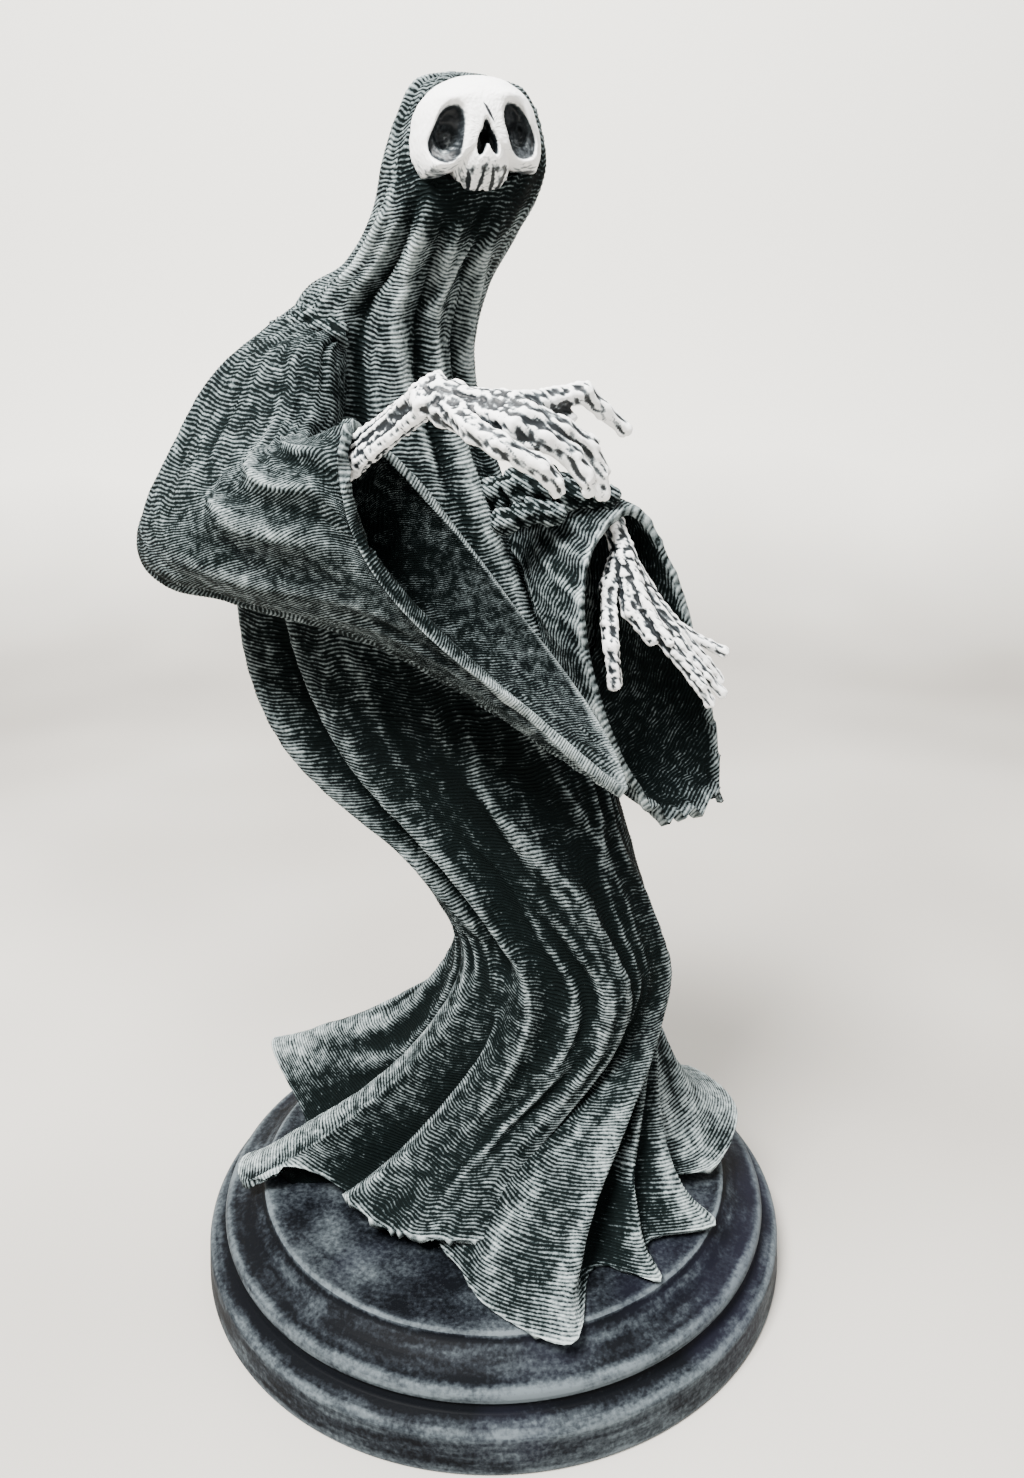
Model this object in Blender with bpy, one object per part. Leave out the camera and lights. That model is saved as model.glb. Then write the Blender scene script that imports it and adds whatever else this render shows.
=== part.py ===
"""Wraith statue: a hooded, skull-faced figure in a long twisting robe, cast as one, on a round plinth.

The row's frame: origin at the centre of the plinth's underside, +X to the right as the figure is seen
from the front, +Y to its back, +Z up. Lengths are metres. The figure itself is drawn in its own units,
DRAWN_HEIGHT of them from its foot to the crown, and FIGURE_HEIGHT sets how big it is cast.
"""
import math

import bmesh
import bpy
import numpy as np

# Driving dimensions of the plinth
PLINTH_RADIUS = 0.080
PLINTH_HEIGHT = 0.0245
TOP_DISC_RADIUS = 0.064
FOOT_BAND_HEIGHT = 0.0115
BEAD_WIDTH = 0.0045
GROOVE_DEPTH = 0.0026

# Driving dimensions of the figure
FIGURE_HEIGHT = 0.2665
CLOTH_WALL = 0.0021
FOOT_GAP = 0.0003

# Casting detail: the size of the smallest form kept, and the facets left after simplifying
GRAIN = 0.0009
FIGURE_FACETS = 7600
PLINTH_SIDES = 48

# The figure's own drawing units
DRAWN_HEIGHT = 266.0
UNIT = FIGURE_HEIGHT / DRAWN_HEIGHT
WALL = CLOTH_WALL / UNIT

# Robe, crown to thigh. Each row: left x and z, right x and z, depth centre y, half depth
ROBE = (
    (-6, 266, -6, 266, -12, 0.01),
    (-14, 264, 7, 262.5, -12, 9),
    (-18, 258, 11, 254, -12, 14),
    (-21, 250, 11, 246, -10, 16),
    (-24, 241, 6, 237, -7, 15.5),
    (-31, 232, 0, 227, -1, 14.5),
    (-43, 223, -4, 212, 4, 16),
    (-52, 194, 0, 193, 8, 20),
    (-59, 159, 12, 158, 8, 24),
    (-50, 125, 27, 121, 4, 25),
    (-25, 98, 36, 93, 0, 23),
    (-12, 78, 43, 68, -3, 21),
)
THIGH = len(ROBE) - 1
HEM = THIGH + 3
SKIRT_SWING = 24.0
HEM_SLOPE = 0.45
FOOT_DEPTH = 4.0

# Hem of the skirt. Each row: angle at the thigh, angle at the hem, reach from HEM_CENTRE, height
HEM_CENTRE = (0.0, -6.0)
HEM_FOLDS = (
    (6, 313, 60, 1.5),
    (13, 322, 50, 2),
    (20, 336, 63, 2.5),
    (27, 345, 48, 5),
    (34, 354, 61, 5),
    (45, 370, 70, 10),
    (56, 385, 62, 14),
    (70, 398, 52, 3),
    (85, 412, 62, 7),
    (98, 428, 50, 2),
    (112, 444, 60, 6),
    (125, 460, 48, 2),
    (138, 476, 61, 8),
    (152, 492, 52, 4),
    (172, 512, 76, 17),
    (192, 526, 56, 1),
    (205, 540, 69, 3),
    (212, 548, 68, 2),
    (219, 551, 57, 8),
    (225, 555, 47, 6),
    (231, 563, 40, 1),
    (238, 568, 44, 7),
    (262, 588, 41, 6),
    (285, 612, 38, 7),
    (300, 630, 36, 7),
    (308, 637, 33, 7),
    (318, 608, 34, 3),
    (326, 619, 41, 2),
    (336, 630, 52, 1),
    (350, 647, 64.5, 1),
    (358, 663, 46, 1),
)

# Folds of the robe. Each row: start and end down the robe, angle at start, middle and end, height, width
ROBE_FOLDS = (
    (7.4, 11.0, 189, 208, 229, 5.0, 10),
    (7.8, 11.4, 216, 229, 240, -8.0, 9),
    (8.0, 13.0, 240, 247, 260, 3.5, 8),
    (8.4, 11.6, 258, 264, 274, -3.0, 8),
    (8.6, 13.4, 283, 300, 309, 4.0, 9),
    (9.0, 13.6, 322, 346, 352, 3.5, 9),
    (9.1, 10.4, 280, 288, 298, 2.0, 6),
    (9.6, 11.6, 271, 283, 293, 2.0, 6),
    (7.6, 12.6, 228, 246, 262, 2.4, 6),
    (7.8, 12.8, 250, 268, 282, 2.2, 6),
    (8.2, 13.2, 272, 291, 299, 2.0, 5),
    (7.8, 12.0, 300, 318, 326, 2.2, 6),
    (3.4, 6.4, 222, 229, 233, 2.4, 8),
    (3.4, 7.6, 254, 275, 305, 2.6, 7),
    (3.5, 9.6, 281, 312, 338, 2.8, 7),
    (3.5, 8.4, 306, 335, 345, 2.4, 7),
    (3.3, 6.8, 238, 243, 250, 1.6, 5),
    (3.6, 7.5, 246, 256, 268, -2.2, 6),
    (3.6, 8.5, 268, 295, 322, -2.4, 6),
    (3.4, 8.0, 295, 322, 341, -1.8, 5),
)

# Sleeves, shoulder to mouth. Each row: inner point, outer point, bulge to the front, bulge to the back
RIGHT_SLEEVE = (
    ((-28, -4, 216), (-40, 4, 222), 9, 9),
    ((-32, -15, 214), (-58, 0, 206), 11, 11),
    ((-33, -22, 203), (-69, -3, 188), 13, 13),
    ((-35, -28, 198), (-75, -10, 171), 14, 14),
    ((-35, -33, 197), (-67, -18, 164), 14, 15),
    ((-33, -40, 198), (-50, -26, 163), 13, 17),
    ((-29, -45, 200), (-18, -36, 155), 11, 22),
    ((-26, -48, 201), (29, -35, 122), 9, 26),
)
LEFT_SLEEVE = (
    ((-4, 6, 186), (6, 6, 160), 8, 8),
    ((12, 4, 184), (20, 8, 138), 11, 12),
    ((22, 3, 182), (37, 13, 113), 21, 15),
    ((31, 0, 179), (57, 12, 103), 28, 12),
)
RIGHT_FRONT = (-0.3, -0.9, 0.3)
LEFT_FRONT = (-0.72, -0.68, 0.1)
RIGHT_LIP = 11.0
TATTER_REACH = 0.35

# Folds of the sleeves. Each row: start and end along the sleeve, three angles, height, width
RIGHT_FOLDS = (
    (3.0, 6.7, 348, 334, 332, 2.0, 9),
    (3.2, 6.8, 322, 304, 308, 2.3, 9),
    (3.3, 6.7, 292, 276, 284, 2.1, 9),
    (3.6, 6.4, 256, 248, 262, 1.6, 9),
    (0.8, 3.4, 300, 288, 270, 1.6, 11),
    (0.6, 3.2, 262, 250, 236, 1.4, 11),
)
LEFT_FOLDS = (
    (0.3, 2.9, 232, 226, 220, 1.6, 9),
    (0.3, 2.9, 262, 256, 250, 1.6, 9),
    (0.4, 2.9, 292, 288, 284, 1.4, 9),
)

# Torn lower edge of the left sleeve. Each row: angle from its lowest point, depth, width in degrees
LEFT_TATTERS = (
    (-64, 3.0, 5),
    (-46, 2.4, 5),
    (-24, 8.0, 9),
    (-6, 2.2, 4),
    (8, 3.4, 5),
    (22, 2.0, 4),
    (36, 3.4, 5),
    (52, 2.2, 5),
)

# Gathered cloth. Each chain: its points, then its radius at both ends
GATHERS = (
    (((-44, -4, 219), (-38, -9, 220), (-32, -12, 217)), 3.2, 2.6),
    (((1, -4, 183), (6, -6, 185), (12, -5, 184), (19, -3, 183), (27, 0, 182)), 4.0, 3.2),
    (((3, -11, 178), (9, -10, 180), (15, -8, 179)), 3.0, 2.4),
)


def smooth(rows, at, closed=False):
    """Smooth curve through rows, which lie at the whole numbers of the parameter."""
    rows = np.asarray(rows, float)
    at = np.asarray(at, float)
    last = len(rows) - 1
    start = np.floor(at).astype(int)
    if not closed:
        start = np.clip(start, 0, last - 1)
    part = (at - start)[..., None]
    steps = [start + step for step in (-1, 0, 1, 2)]
    if closed:
        before, here, there, after = (rows[step % (last + 1)] for step in steps)
    else:
        before, here, there, after = (rows[np.clip(step, 0, last)] for step in steps)
    slope = there - before
    bend = 2 * before - 5 * here + 4 * there - after
    turn = 3 * here - before - 3 * there + after
    return 0.5 * (2 * here + slope * part + bend * part**2 + turn * part**3)


def unit(vectors):
    """Vectors of length one."""
    return vectors / np.maximum(np.linalg.norm(vectors, axis=-1, keepdims=True), 1e-9)


def normals(grid, closed=True):
    """Outward normals of a grid whose rows run down and whose columns run round."""
    if closed:
        around = np.roll(grid, -1, 1) - np.roll(grid, 1, 1)
    else:
        around = np.gradient(grid, axis=1)
    down = np.gradient(grid, axis=0)
    return unit(np.cross(down, around))


def hem_line(theta):
    """The hem's own curve, by the angle at the thigh."""
    folds = np.array(HEM_FOLDS, float)
    angles = np.radians(folds[:, 0])
    count = len(folds)
    turn = 2 * math.pi
    knots = np.concatenate([angles, [angles[0] + turn]])
    inside = (np.asarray(theta, float) - angles[0]) % turn + angles[0]
    at = np.interp(inside, knots, np.arange(count + 1))
    hem_angle = np.radians(folds[:, 1])
    points = np.stack(
        [
            HEM_CENTRE[0] + folds[:, 2] * np.cos(hem_angle),
            HEM_CENTRE[1] + folds[:, 2] * np.sin(hem_angle),
            folds[:, 3],
        ],
        -1,
    )
    return smooth(points, at, closed=True)


def body_ring(theta, down):
    """The robe without its folds, from the crown to the thigh."""
    left_x, left_z, right_x, right_z, depth_y, depth = np.moveaxis(smooth(ROBE, down), -1, 0)
    across = np.cos(theta)
    x = (left_x + right_x) / 2 + (right_x - left_x) / 2 * across
    z = (left_z + right_z) / 2 + (right_z - left_z) / 2 * across
    return np.stack([x, depth_y + depth * np.sin(theta), z], -1)


def fold_heights(theta, down, folds):
    """How far a table of folds stands out from the cloth."""
    total = np.zeros(np.broadcast(theta, down).shape)
    degrees = np.degrees(theta) % 360
    for start, end, angle_0, angle_1, angle_2, height, width in folds:
        part = np.clip((down - start) / (end - start), 0, 1)
        angle = smooth([[angle_0], [angle_1], [angle_2]], part * 2)[..., 0]
        fade = np.sin(math.pi * part) ** 0.7
        away = np.abs((degrees - angle + 180) % 360 - 180) / width
        total += height * fade * np.exp(-(away**1.4))
    return total


def robe(theta, down):
    """The whole robe with its folds. down runs from 0 at the crown to HEM at the hem."""
    theta, down = np.broadcast_arrays(theta, down)
    body = body_ring(theta, np.minimum(down, THIGH))
    above = body_ring(theta, np.full(theta.shape, THIGH - 0.15))
    thigh = body_ring(theta, np.full(theta.shape, float(THIGH)))
    hem = hem_line(theta)
    out = hem - np.array([*HEM_CENTRE, 0.0])
    out[..., 2] = -HEM_SLOPE * np.linalg.norm(out[..., :2], axis=-1)
    first = thigh + unit(thigh - above) * SKIRT_SWING
    second = hem - unit(out) * SKIRT_SWING
    part = np.clip((down - THIGH) / (HEM - THIGH), 0, 1)[..., None]
    rest = 1 - part
    skirt = rest**3 * thigh + 3 * rest**2 * part * first + 3 * rest * part**2 * second + part**3 * hem
    base = np.where((down < THIGH)[..., None], body, skirt)
    outward = np.stack([np.cos(theta), np.sin(theta), np.zeros(theta.shape)], -1)
    return base + outward * fold_heights(theta, down, ROBE_FOLDS)[..., None]


def robe_grid(columns, rows):
    """The robe's shell, down its outside, round the hem and up into the hollow beneath."""
    theta = np.linspace(0, 2 * math.pi, columns, endpoint=False)[None, :]
    down = np.linspace(0, HEM, rows)[:, None]
    outside = robe(theta, down)
    inward = -normals(outside)
    hem_rows = max(3, rows // 10)
    inner = (outside + inward * WALL)[-hem_rows:][::-1]
    inner[..., 2] = np.minimum(inner[..., 2], outside[-hem_rows:][::-1][..., 2] - 0.4 * WALL)
    foot = inner[-1].copy()
    foot[:, 2] = -FOOT_DEPTH
    sole = foot[None] * [0.94, 0.94, 1.0]
    return np.concatenate([outside, inner, sole])


def sleeve(rows, front, around, along, lip=0.0, power=2.4):
    """A sleeve's surface. around is an angle from the inner line, along runs from shoulder to mouth.

    lip is how far the front edge of the mouth is drawn back, most of all just below its top.
    """
    table = np.array([[*inner, *outer, near, far] for inner, outer, near, far in rows], float)
    values = smooth(table, along)
    inner, outer = values[..., 0:3], values[..., 3:6]
    chord = outer - inner
    length = np.linalg.norm(chord, axis=-1, keepdims=True)
    chord = chord / length
    facing = np.asarray(front, float)
    facing = unit(facing - (chord @ facing)[..., None] * chord)
    cos, sin = np.cos(around), -np.sin(around)
    flat = 2 / power
    along_chord = (np.sign(cos) * np.abs(cos) ** flat)[..., None]
    across = (np.sign(sin) * np.abs(sin) ** flat)[..., None]
    bulge = np.where(sin >= 0, values[..., 6], values[..., 7])[..., None]
    middle = (inner + outer) / 2
    points = middle - chord * along_chord * length / 2 + facing * across * bulge
    below_top = (1 - along_chord) / 2
    drawn = lip * np.sin(math.pi * np.clip(below_top, 0, 1) ** 0.55) ** 1.5 * np.clip(across * 2.5, 0, 1)
    drawn = drawn * np.clip(along - len(rows) + 2.3, 0, 1.3)[..., None] / 1.3
    return points - np.cross(facing, chord) * drawn


def sleeve_outside(rows, front, around, along, folds, lip=0.0, tatters=()):
    """A sleeve's outer face with its folds and torn lower edge."""
    mouth = len(rows) - 1
    outside = sleeve(rows, front, around, along, lip)
    outside = outside + normals(outside) * fold_heights(around, along, folds)[..., None]
    degrees = np.degrees(around) - 180
    near_mouth = np.clip((along - mouth) / TATTER_REACH + 1, 0, 1)
    for angle, depth, width in tatters:
        outside[..., 2] -= depth * near_mouth * np.exp(-(((degrees - angle) / width) ** 2))
    return outside


def sleeve_grid(rows, front, columns, steps, depth, **shape):
    """A thin-walled sleeve, closed at the shoulder, open and hollow from the mouth back to depth."""
    around = np.linspace(0, 2 * math.pi, columns, endpoint=False)[None, :]
    along = np.linspace(0, len(rows) - 1, steps)[:, None]
    outside = sleeve_outside(rows, front, around, along, **shape)
    hollow = along[:, 0] >= depth
    inside = (outside - normals(outside) * WALL)[hollow][::-1]
    return np.concatenate([outside, inside])


# Skull outline. Each row: angle from the top, radius
SKULL_OUTLINE = (
    (0, 12.6),
    (28, 12.8),
    (53, 12.6),
    (80, 12.4),
    (104, 13.2),
    (120, 13.2),
    (129, 11.0),
    (136, 8.2),
    (147, 9.6),
    (160, 10.3),
    (180, 9.9),
)
SKULL_CENTRE = np.array([-3.0, -17.0, 253.0])
SKULL_TURN = math.radians(13)
SKULL_ROLL = math.radians(-4)
SOCKET_LEAN = 0.28
TOOTH_PITCH = 2.2


def dent(across, up, centre, size, tilt, edge=0.25):
    """One inside a tilted oval, nothing outside it, with a soft edge."""
    cos, sin = math.cos(tilt), math.sin(tilt)
    dx, dz = across - centre[0], up - centre[1]
    along = (dx * cos + dz * sin) / size[0]
    over = (dz * cos - dx * sin) / size[1]
    away = np.sqrt(along**2 + over**2)
    return 1 / (1 + np.exp((away - 1) / (edge * 0.35)))


def skull_depth(across, up, rim):
    """How far the face stands out in front of the skull's centre. rim is 1 at the outline."""
    depth = 2.0 + 13.5 * np.sqrt(np.clip(1 - rim**2.6, 0, 1))
    side = np.abs(across)
    depth += 1.6 * np.exp(-((side - 9.5) ** 2 / 7 + (up + 5.5) ** 2 / 4))
    depth += 0.9 * np.exp(-((side - 5.5) ** 2 / 12 + (up - 6.6) ** 2 / 2))
    depth += 1.2 * np.exp(-(across**2 / 20 + (up + 6.5) ** 2 / 10))
    for edge in (-1, 1):
        depth -= 4.0 * dent(across, up, (edge * 6.3, 1.2), (2.4, 3.7), edge * SOCKET_LEAN)
        depth -= 2.8 * dent(across, up, (edge * 7.4, -1.6), (2.9, 3.2), edge * SOCKET_LEAN)
        depth -= 3.4 * dent(across, up, (edge * 1.0, -1.9), (0.8, 2.1), edge * SOCKET_LEAN)
    depth -= 3.4 * dent(across, up, (0.1, -0.2), (0.75, 1.9), 0)
    teeth = np.clip((-up - 6.4) / 0.8, 0, 1) * (side < 4.8)
    return depth - teeth * 0.9 * np.abs(np.cos(across * math.pi / TOOTH_PITCH)) ** 8


def skull_grid(columns, rows):
    """The skull's face in polar rows from its middle, then its hidden back inside the hood."""
    outline = np.array(SKULL_OUTLINE, float)
    angle = np.linspace(0, 2 * math.pi, columns, endpoint=False)[None, :]
    fold = np.degrees(np.minimum(angle, 2 * math.pi - angle))
    radius = np.interp(fold, outline[:, 0], outline[:, 1])
    rim = np.sin(np.linspace(0.002, math.pi / 2, rows))[:, None]
    across = rim * radius * np.sin(angle)
    up = rim * radius * np.cos(angle)
    face = skull_depth(across, up, rim * np.ones_like(angle))
    shrink = np.array([1.0, 0.8, 0.02])[:, None]
    behind = np.array([-3.0, -8.0, -9.0])[:, None] * np.ones_like(angle)
    across = np.concatenate([across, shrink * (radius * np.sin(angle))])
    up = np.concatenate([up, shrink * (radius * np.cos(angle))])
    face = np.concatenate([face, behind])
    cos, sin = math.cos(SKULL_ROLL), math.sin(SKULL_ROLL)
    across, up = across * cos + up * sin, up * cos - across * sin
    right = np.array([math.cos(SKULL_TURN), math.sin(SKULL_TURN), 0])
    ahead = np.array([math.sin(SKULL_TURN), -math.cos(SKULL_TURN), 0])
    above = np.array([0.0, 0.0, 1.0])
    return SKULL_CENTRE + across[..., None] * right + face[..., None] * ahead + up[..., None] * above


# Hands. Each chain: its joints from the sleeve or wrist out to the tip, then its radius at both ends
RIGHT_WRIST = (-8, -60, 207)
RIGHT_HAND = (
    (((-58, -12, 186), (-38, -32, 183), (-26, -45, 193), (-9, -59, 206)), 2.4, 2.6),
    (((-36, -30, 186), (-24, -43, 198), (-8, -58, 209)), 2.0, 2.4),
    (((-10, -62, 206), (-5, -61, 207), (-3, -65, 203)), 2.9, 2.6),
    ((RIGHT_WRIST, (6, -65, 205.7), (11.3, -61, 206.3)), 2.5, 2.1),
    (((11.3, -61, 206.3), (17.7, -57, 207.3), (21.2, -54.5, 204.3), (25.5, -52.5, 200.7)), 2.2, 1.6),
    ((RIGHT_WRIST, (7.4, -67, 204), (13.3, -65, 201.7), (18.5, -62, 198.4)), 2.6, 2.2),
    (((18.5, -62, 198.4), (20.8, -61, 193.9), (21.3, -60, 190.1)), 2.2, 1.6),
    ((RIGHT_WRIST, (5.5, -69, 202.6), (10.6, -68, 200.3), (15.2, -66.5, 197.1)), 2.6, 2.2),
    (((15.2, -66.5, 197.1), (17.8, -66, 193.7), (18.3, -65, 191.4)), 2.2, 1.6),
    ((RIGHT_WRIST, (-1.9, -70, 202), (3, -72, 199.4), (9.7, -71, 195.7)), 2.5, 2.1),
    (((9.7, -71, 195.7), (12.2, -70, 193.3), (12.7, -69, 191.7)), 2.1, 1.5),
    (((-6, -61, 206), (2, -63, 203.5), (9, -62, 202), (15, -58, 203)), 2.4, 1.7),
    (((-7, -63, 204), (1, -67, 201), (8, -68, 199)), 2.5, 1.9),
)
LEFT_WRIST = (31, 2, 170)
LEFT_HAND = (
    (((14, 8, 184), (24, 6, 180), (29, 4, 175), (31, 2, 169)), 2.8, 3.0),
    ((LEFT_WRIST, (27.8, -2, 161.7), (27.8, -6, 153.8), (28.2, -8, 148.8), (29.4, -8, 139.3)), 2.7, 2.0),
    ((LEFT_WRIST, (35.6, -3, 156.9), (43, -6, 147), (49.7, -6.5, 138.8), (52.5, -6, 134.2)), 2.6, 1.6),
    ((LEFT_WRIST, (36.9, 0, 158), (45.2, -2, 147.2), (51.9, -2, 139.5), (56.2, -1, 134.9)), 2.4, 1.5),
    ((LEFT_WRIST, (37.7, 3, 159), (45.3, 3, 149.7), (52.5, 4, 141.4), (56.6, 5, 136.5)), 2.3, 1.5),
    ((LEFT_WRIST, (36.4, 5, 159.1), (42.6, 7, 151.8), (49.6, 8, 146.7), (58.2, 9, 142.6)), 2.3, 1.5),
    (((31, 0, 168), (33, -4, 156), (38, -6, 150)), 2.8, 2.0),
    (((32, 1, 168), (38, 1, 155), (44, 1, 149)), 2.6, 1.8),
    (((32, 2, 168), (36, -2, 156), (41, -4, 150)), 2.6, 1.8),
)


def bone_grids(chains, columns=8, rows=9):
    """Closed tapered tubes with thick ends, one for each stretch between two joints."""
    grids = []
    for joints, first_radius, last_radius in chains:
        joints = np.array(joints, float)
        radii = np.linspace(first_radius, last_radius, len(joints))
        for start, end, near, far in zip(joints, joints[1:], radii, radii[1:]):
            grids.append(bone_grid(start, end, near, far, columns, rows))
    return grids


def bone_grid(start, end, near, far, columns, rows):
    """One bone: a round bar, waisted in the middle, with domed ends."""
    axis = unit(end - start)
    side = unit(np.cross(axis, [0.3, 0.2, 1.0]))
    other = np.cross(axis, side)
    part = np.linspace(0, 1, rows)
    length = np.linalg.norm(end - start)
    along = -near + part * (length + near + far)
    radius = near + (far - near) * part
    radius = radius * (0.78 + 0.22 * np.abs(2 * part - 1) ** 2)
    cap = np.minimum((along + near) / near, (length + far - along) / far)
    radius = radius * np.sqrt(np.clip(1 - (1 - np.clip(cap, 0, 1)) ** 2, 0, 1))
    angle = np.linspace(0, 2 * math.pi, columns, endpoint=False)
    ring = np.cos(angle)[:, None] * side + np.sin(angle)[:, None] * other
    return start + axis * along[:, None, None] + ring[None] * radius[:, None, None]


def add_grid(mesh, grid):
    """Adds a closed grid of rings to the mesh, its first and last rings drawn together."""
    rows, columns, _ = grid.shape
    rings = [[mesh.verts.new(point) for point in row] for row in grid[1:-1].tolist()]
    first = mesh.verts.new(grid[0].mean(0).tolist())
    last = mesh.verts.new(grid[-1].mean(0).tolist())
    for upper, lower in zip(rings, rings[1:]):
        for column in range(columns):
            beside = (column + 1) % columns
            mesh.faces.new((upper[column], lower[column], lower[beside], upper[beside]))
    for column in range(columns):
        beside = (column + 1) % columns
        mesh.faces.new((first, rings[0][column], rings[0][beside]))
        mesh.faces.new((last, rings[-1][beside], rings[-1][column]))


def painted(name, colour, roughness):
    """A material with one painted colour."""
    material = bpy.data.materials.new(name)
    material.use_nodes = True
    shader = material.node_tree.nodes["Principled BSDF"]
    shader.inputs["Base Color"].default_value = (*colour, 1)
    shader.inputs["Roughness"].default_value = roughness
    return material


def place(name, mesh, material):
    """A bmesh as a named object with its material."""
    data = bpy.data.meshes.new(name)
    mesh.to_mesh(data)
    mesh.free()
    data.materials.append(material)
    thing = bpy.data.objects.new(name, data)
    bpy.context.scene.collection.objects.link(thing)
    return thing


def evaluated(thing):
    """The object's mesh after its modifiers."""
    graph = bpy.context.evaluated_depsgraph_get()
    return bpy.data.meshes.new_from_object(thing.evaluated_get(graph))


def make_figure():
    """Robe, sleeves, skull and hands as one cast body, cut flat where it stands."""
    mesh = bmesh.new()
    add_grid(mesh, robe_grid(220, 200))
    right = sleeve_grid(RIGHT_SLEEVE, RIGHT_FRONT, 96, 90, 3.4, folds=RIGHT_FOLDS, lip=RIGHT_LIP)
    left = sleeve_grid(LEFT_SLEEVE, LEFT_FRONT, 96, 70, 1.0, folds=LEFT_FOLDS, tatters=LEFT_TATTERS)
    add_grid(mesh, right)
    add_grid(mesh, left)
    add_grid(mesh, skull_grid(120, 60))
    for grid in bone_grids(RIGHT_HAND + LEFT_HAND + GATHERS):
        add_grid(mesh, grid)
    bmesh.ops.scale(mesh, vec=(UNIT, UNIT, UNIT), verts=mesh.verts)
    bmesh.ops.translate(mesh, vec=(0, 0, PLINTH_HEIGHT + FOOT_GAP), verts=mesh.verts)
    bmesh.ops.recalc_face_normals(mesh, faces=mesh.faces)
    cloth = painted("dry_brushed_cloth", (0.10, 0.115, 0.12), 0.75)
    rough = place("rough_figure", mesh, cloth)
    fuse = rough.modifiers.new("fuse", "REMESH")
    fuse.mode = "VOXEL"
    fuse.voxel_size = GRAIN
    fused = bmesh.new()
    fused.from_mesh(evaluated(rough))
    keep_largest(fused)
    bmesh.ops.smooth_vert(
        fused, verts=fused.verts, factor=0.5, use_axis_x=True, use_axis_y=True, use_axis_z=True
    )
    facets = sum(len(face.verts) - 2 for face in fused.faces)
    fused_figure = place("fused_figure", fused, cloth)
    simplify = fused_figure.modifiers.new("simplify", "DECIMATE")
    simplify.ratio = FIGURE_FACETS / facets
    simplify.use_collapse_triangulate = True
    body = bmesh.new()
    body.from_mesh(evaluated(fused_figure))
    for draft in (rough, fused_figure):
        bpy.data.objects.remove(draft, do_unlink=True)
    cut_flat(body)
    return place("robed_figure", body, cloth)


def islands(mesh):
    """The mesh's separate shells, each a set of its points."""
    left = set(mesh.verts)
    while left:
        shell = {left.pop()}
        edge_of = list(shell)
        while edge_of:
            point = edge_of.pop()
            near = {edge.other_vert(point) for edge in point.link_edges} & left
            left -= near
            shell |= near
            edge_of += near
        yield shell


def keep_largest(mesh):
    """Deletes every shell but the largest, so that no sealed bubble stays inside the casting."""
    shells = sorted(islands(mesh), key=len)
    for shell in shells[:-1]:
        bmesh.ops.delete(mesh, geom=list(shell), context="VERTS")


def cut_flat(mesh):
    """Cuts the figure level where it stands on the plinth."""
    everything = mesh.verts[:] + mesh.edges[:] + mesh.faces[:]
    level = (0, 0, PLINTH_HEIGHT + FOOT_GAP)
    bmesh.ops.bisect_plane(
        mesh, geom=everything, dist=1e-6, plane_co=level, plane_no=(0, 0, 1), clear_inner=True
    )
    rim = [edge for edge in mesh.edges if edge.is_boundary]
    bmesh.ops.holes_fill(mesh, edges=rim)
    bmesh.ops.triangulate(mesh, faces=[face for face in mesh.faces if len(face.verts) > 3])
    bmesh.ops.recalc_face_normals(mesh, faces=mesh.faces)


def arc(centre, radius, start, end, steps):
    """Points on an arc in the profile's plane, angles in degrees from +X."""
    angles = [math.radians(start + (end - start) * step / steps) for step in range(steps + 1)]
    return [(centre[0] + radius * math.cos(a), centre[1] + radius * math.sin(a)) for a in angles]


def plinth_profile():
    """Half section of the plinth, from the middle of its top down to the middle of its underside."""
    top = PLINTH_HEIGHT
    shoulder = 0.0022
    bead_x = PLINTH_RADIUS - 0.0075
    bead_z = FOOT_BAND_HEIGHT + GROOVE_DEPTH + BEAD_WIDTH / 2
    slope_top = top - 0.0014
    profile = [(0.0, top), (TOP_DISC_RADIUS - 0.0012, top)]
    profile += arc((TOP_DISC_RADIUS - 0.0012, top - 0.0012), 0.0012, 60, 0, 2)
    profile.append((TOP_DISC_RADIUS + 0.0006, slope_top - 0.0006))
    profile.append((TOP_DISC_RADIUS + 0.0040, bead_z + 0.0036))
    profile.append((bead_x - 0.0020, bead_z + 0.0026))
    profile += arc((bead_x, bead_z), BEAD_WIDTH / 2, 100, -60, 5)
    profile.append((PLINTH_RADIUS - 0.0055, FOOT_BAND_HEIGHT + 0.0009))
    corner = (PLINTH_RADIUS - shoulder - 0.0006, FOOT_BAND_HEIGHT - shoulder)
    profile += arc(corner, shoulder, 80, 5, 4)
    profile.append((PLINTH_RADIUS - 0.0001, 0.0030))
    profile += arc((PLINTH_RADIUS - 0.0010, 0.0010), 0.0010, 0, -90, 2)
    profile.append((0.0, 0.0))
    return profile


def make_plinth():
    """The turned plinth: foot band, groove, bead, sloping band and raised top disc."""
    mesh = bmesh.new()
    points = [mesh.verts.new((x, 0, z)) for x, z in plinth_profile()]
    edges = [mesh.edges.new(pair) for pair in zip(points, points[1:])]
    bmesh.ops.spin(
        mesh,
        geom=points + edges,
        cent=(0, 0, 0),
        axis=(0, 0, 1),
        angle=2 * math.pi,
        steps=PLINTH_SIDES,
        use_merge=True,
    )
    bmesh.ops.remove_doubles(mesh, verts=mesh.verts, dist=1e-6)
    bmesh.ops.recalc_face_normals(mesh, faces=mesh.faces)
    plinth = place("plinth", mesh, painted("plinth_paint", (0.16, 0.19, 0.22), 0.6))
    plinth.data.shade_smooth()
    plinth.data.set_sharp_from_angle(angle=math.radians(40))
    return plinth


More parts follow.
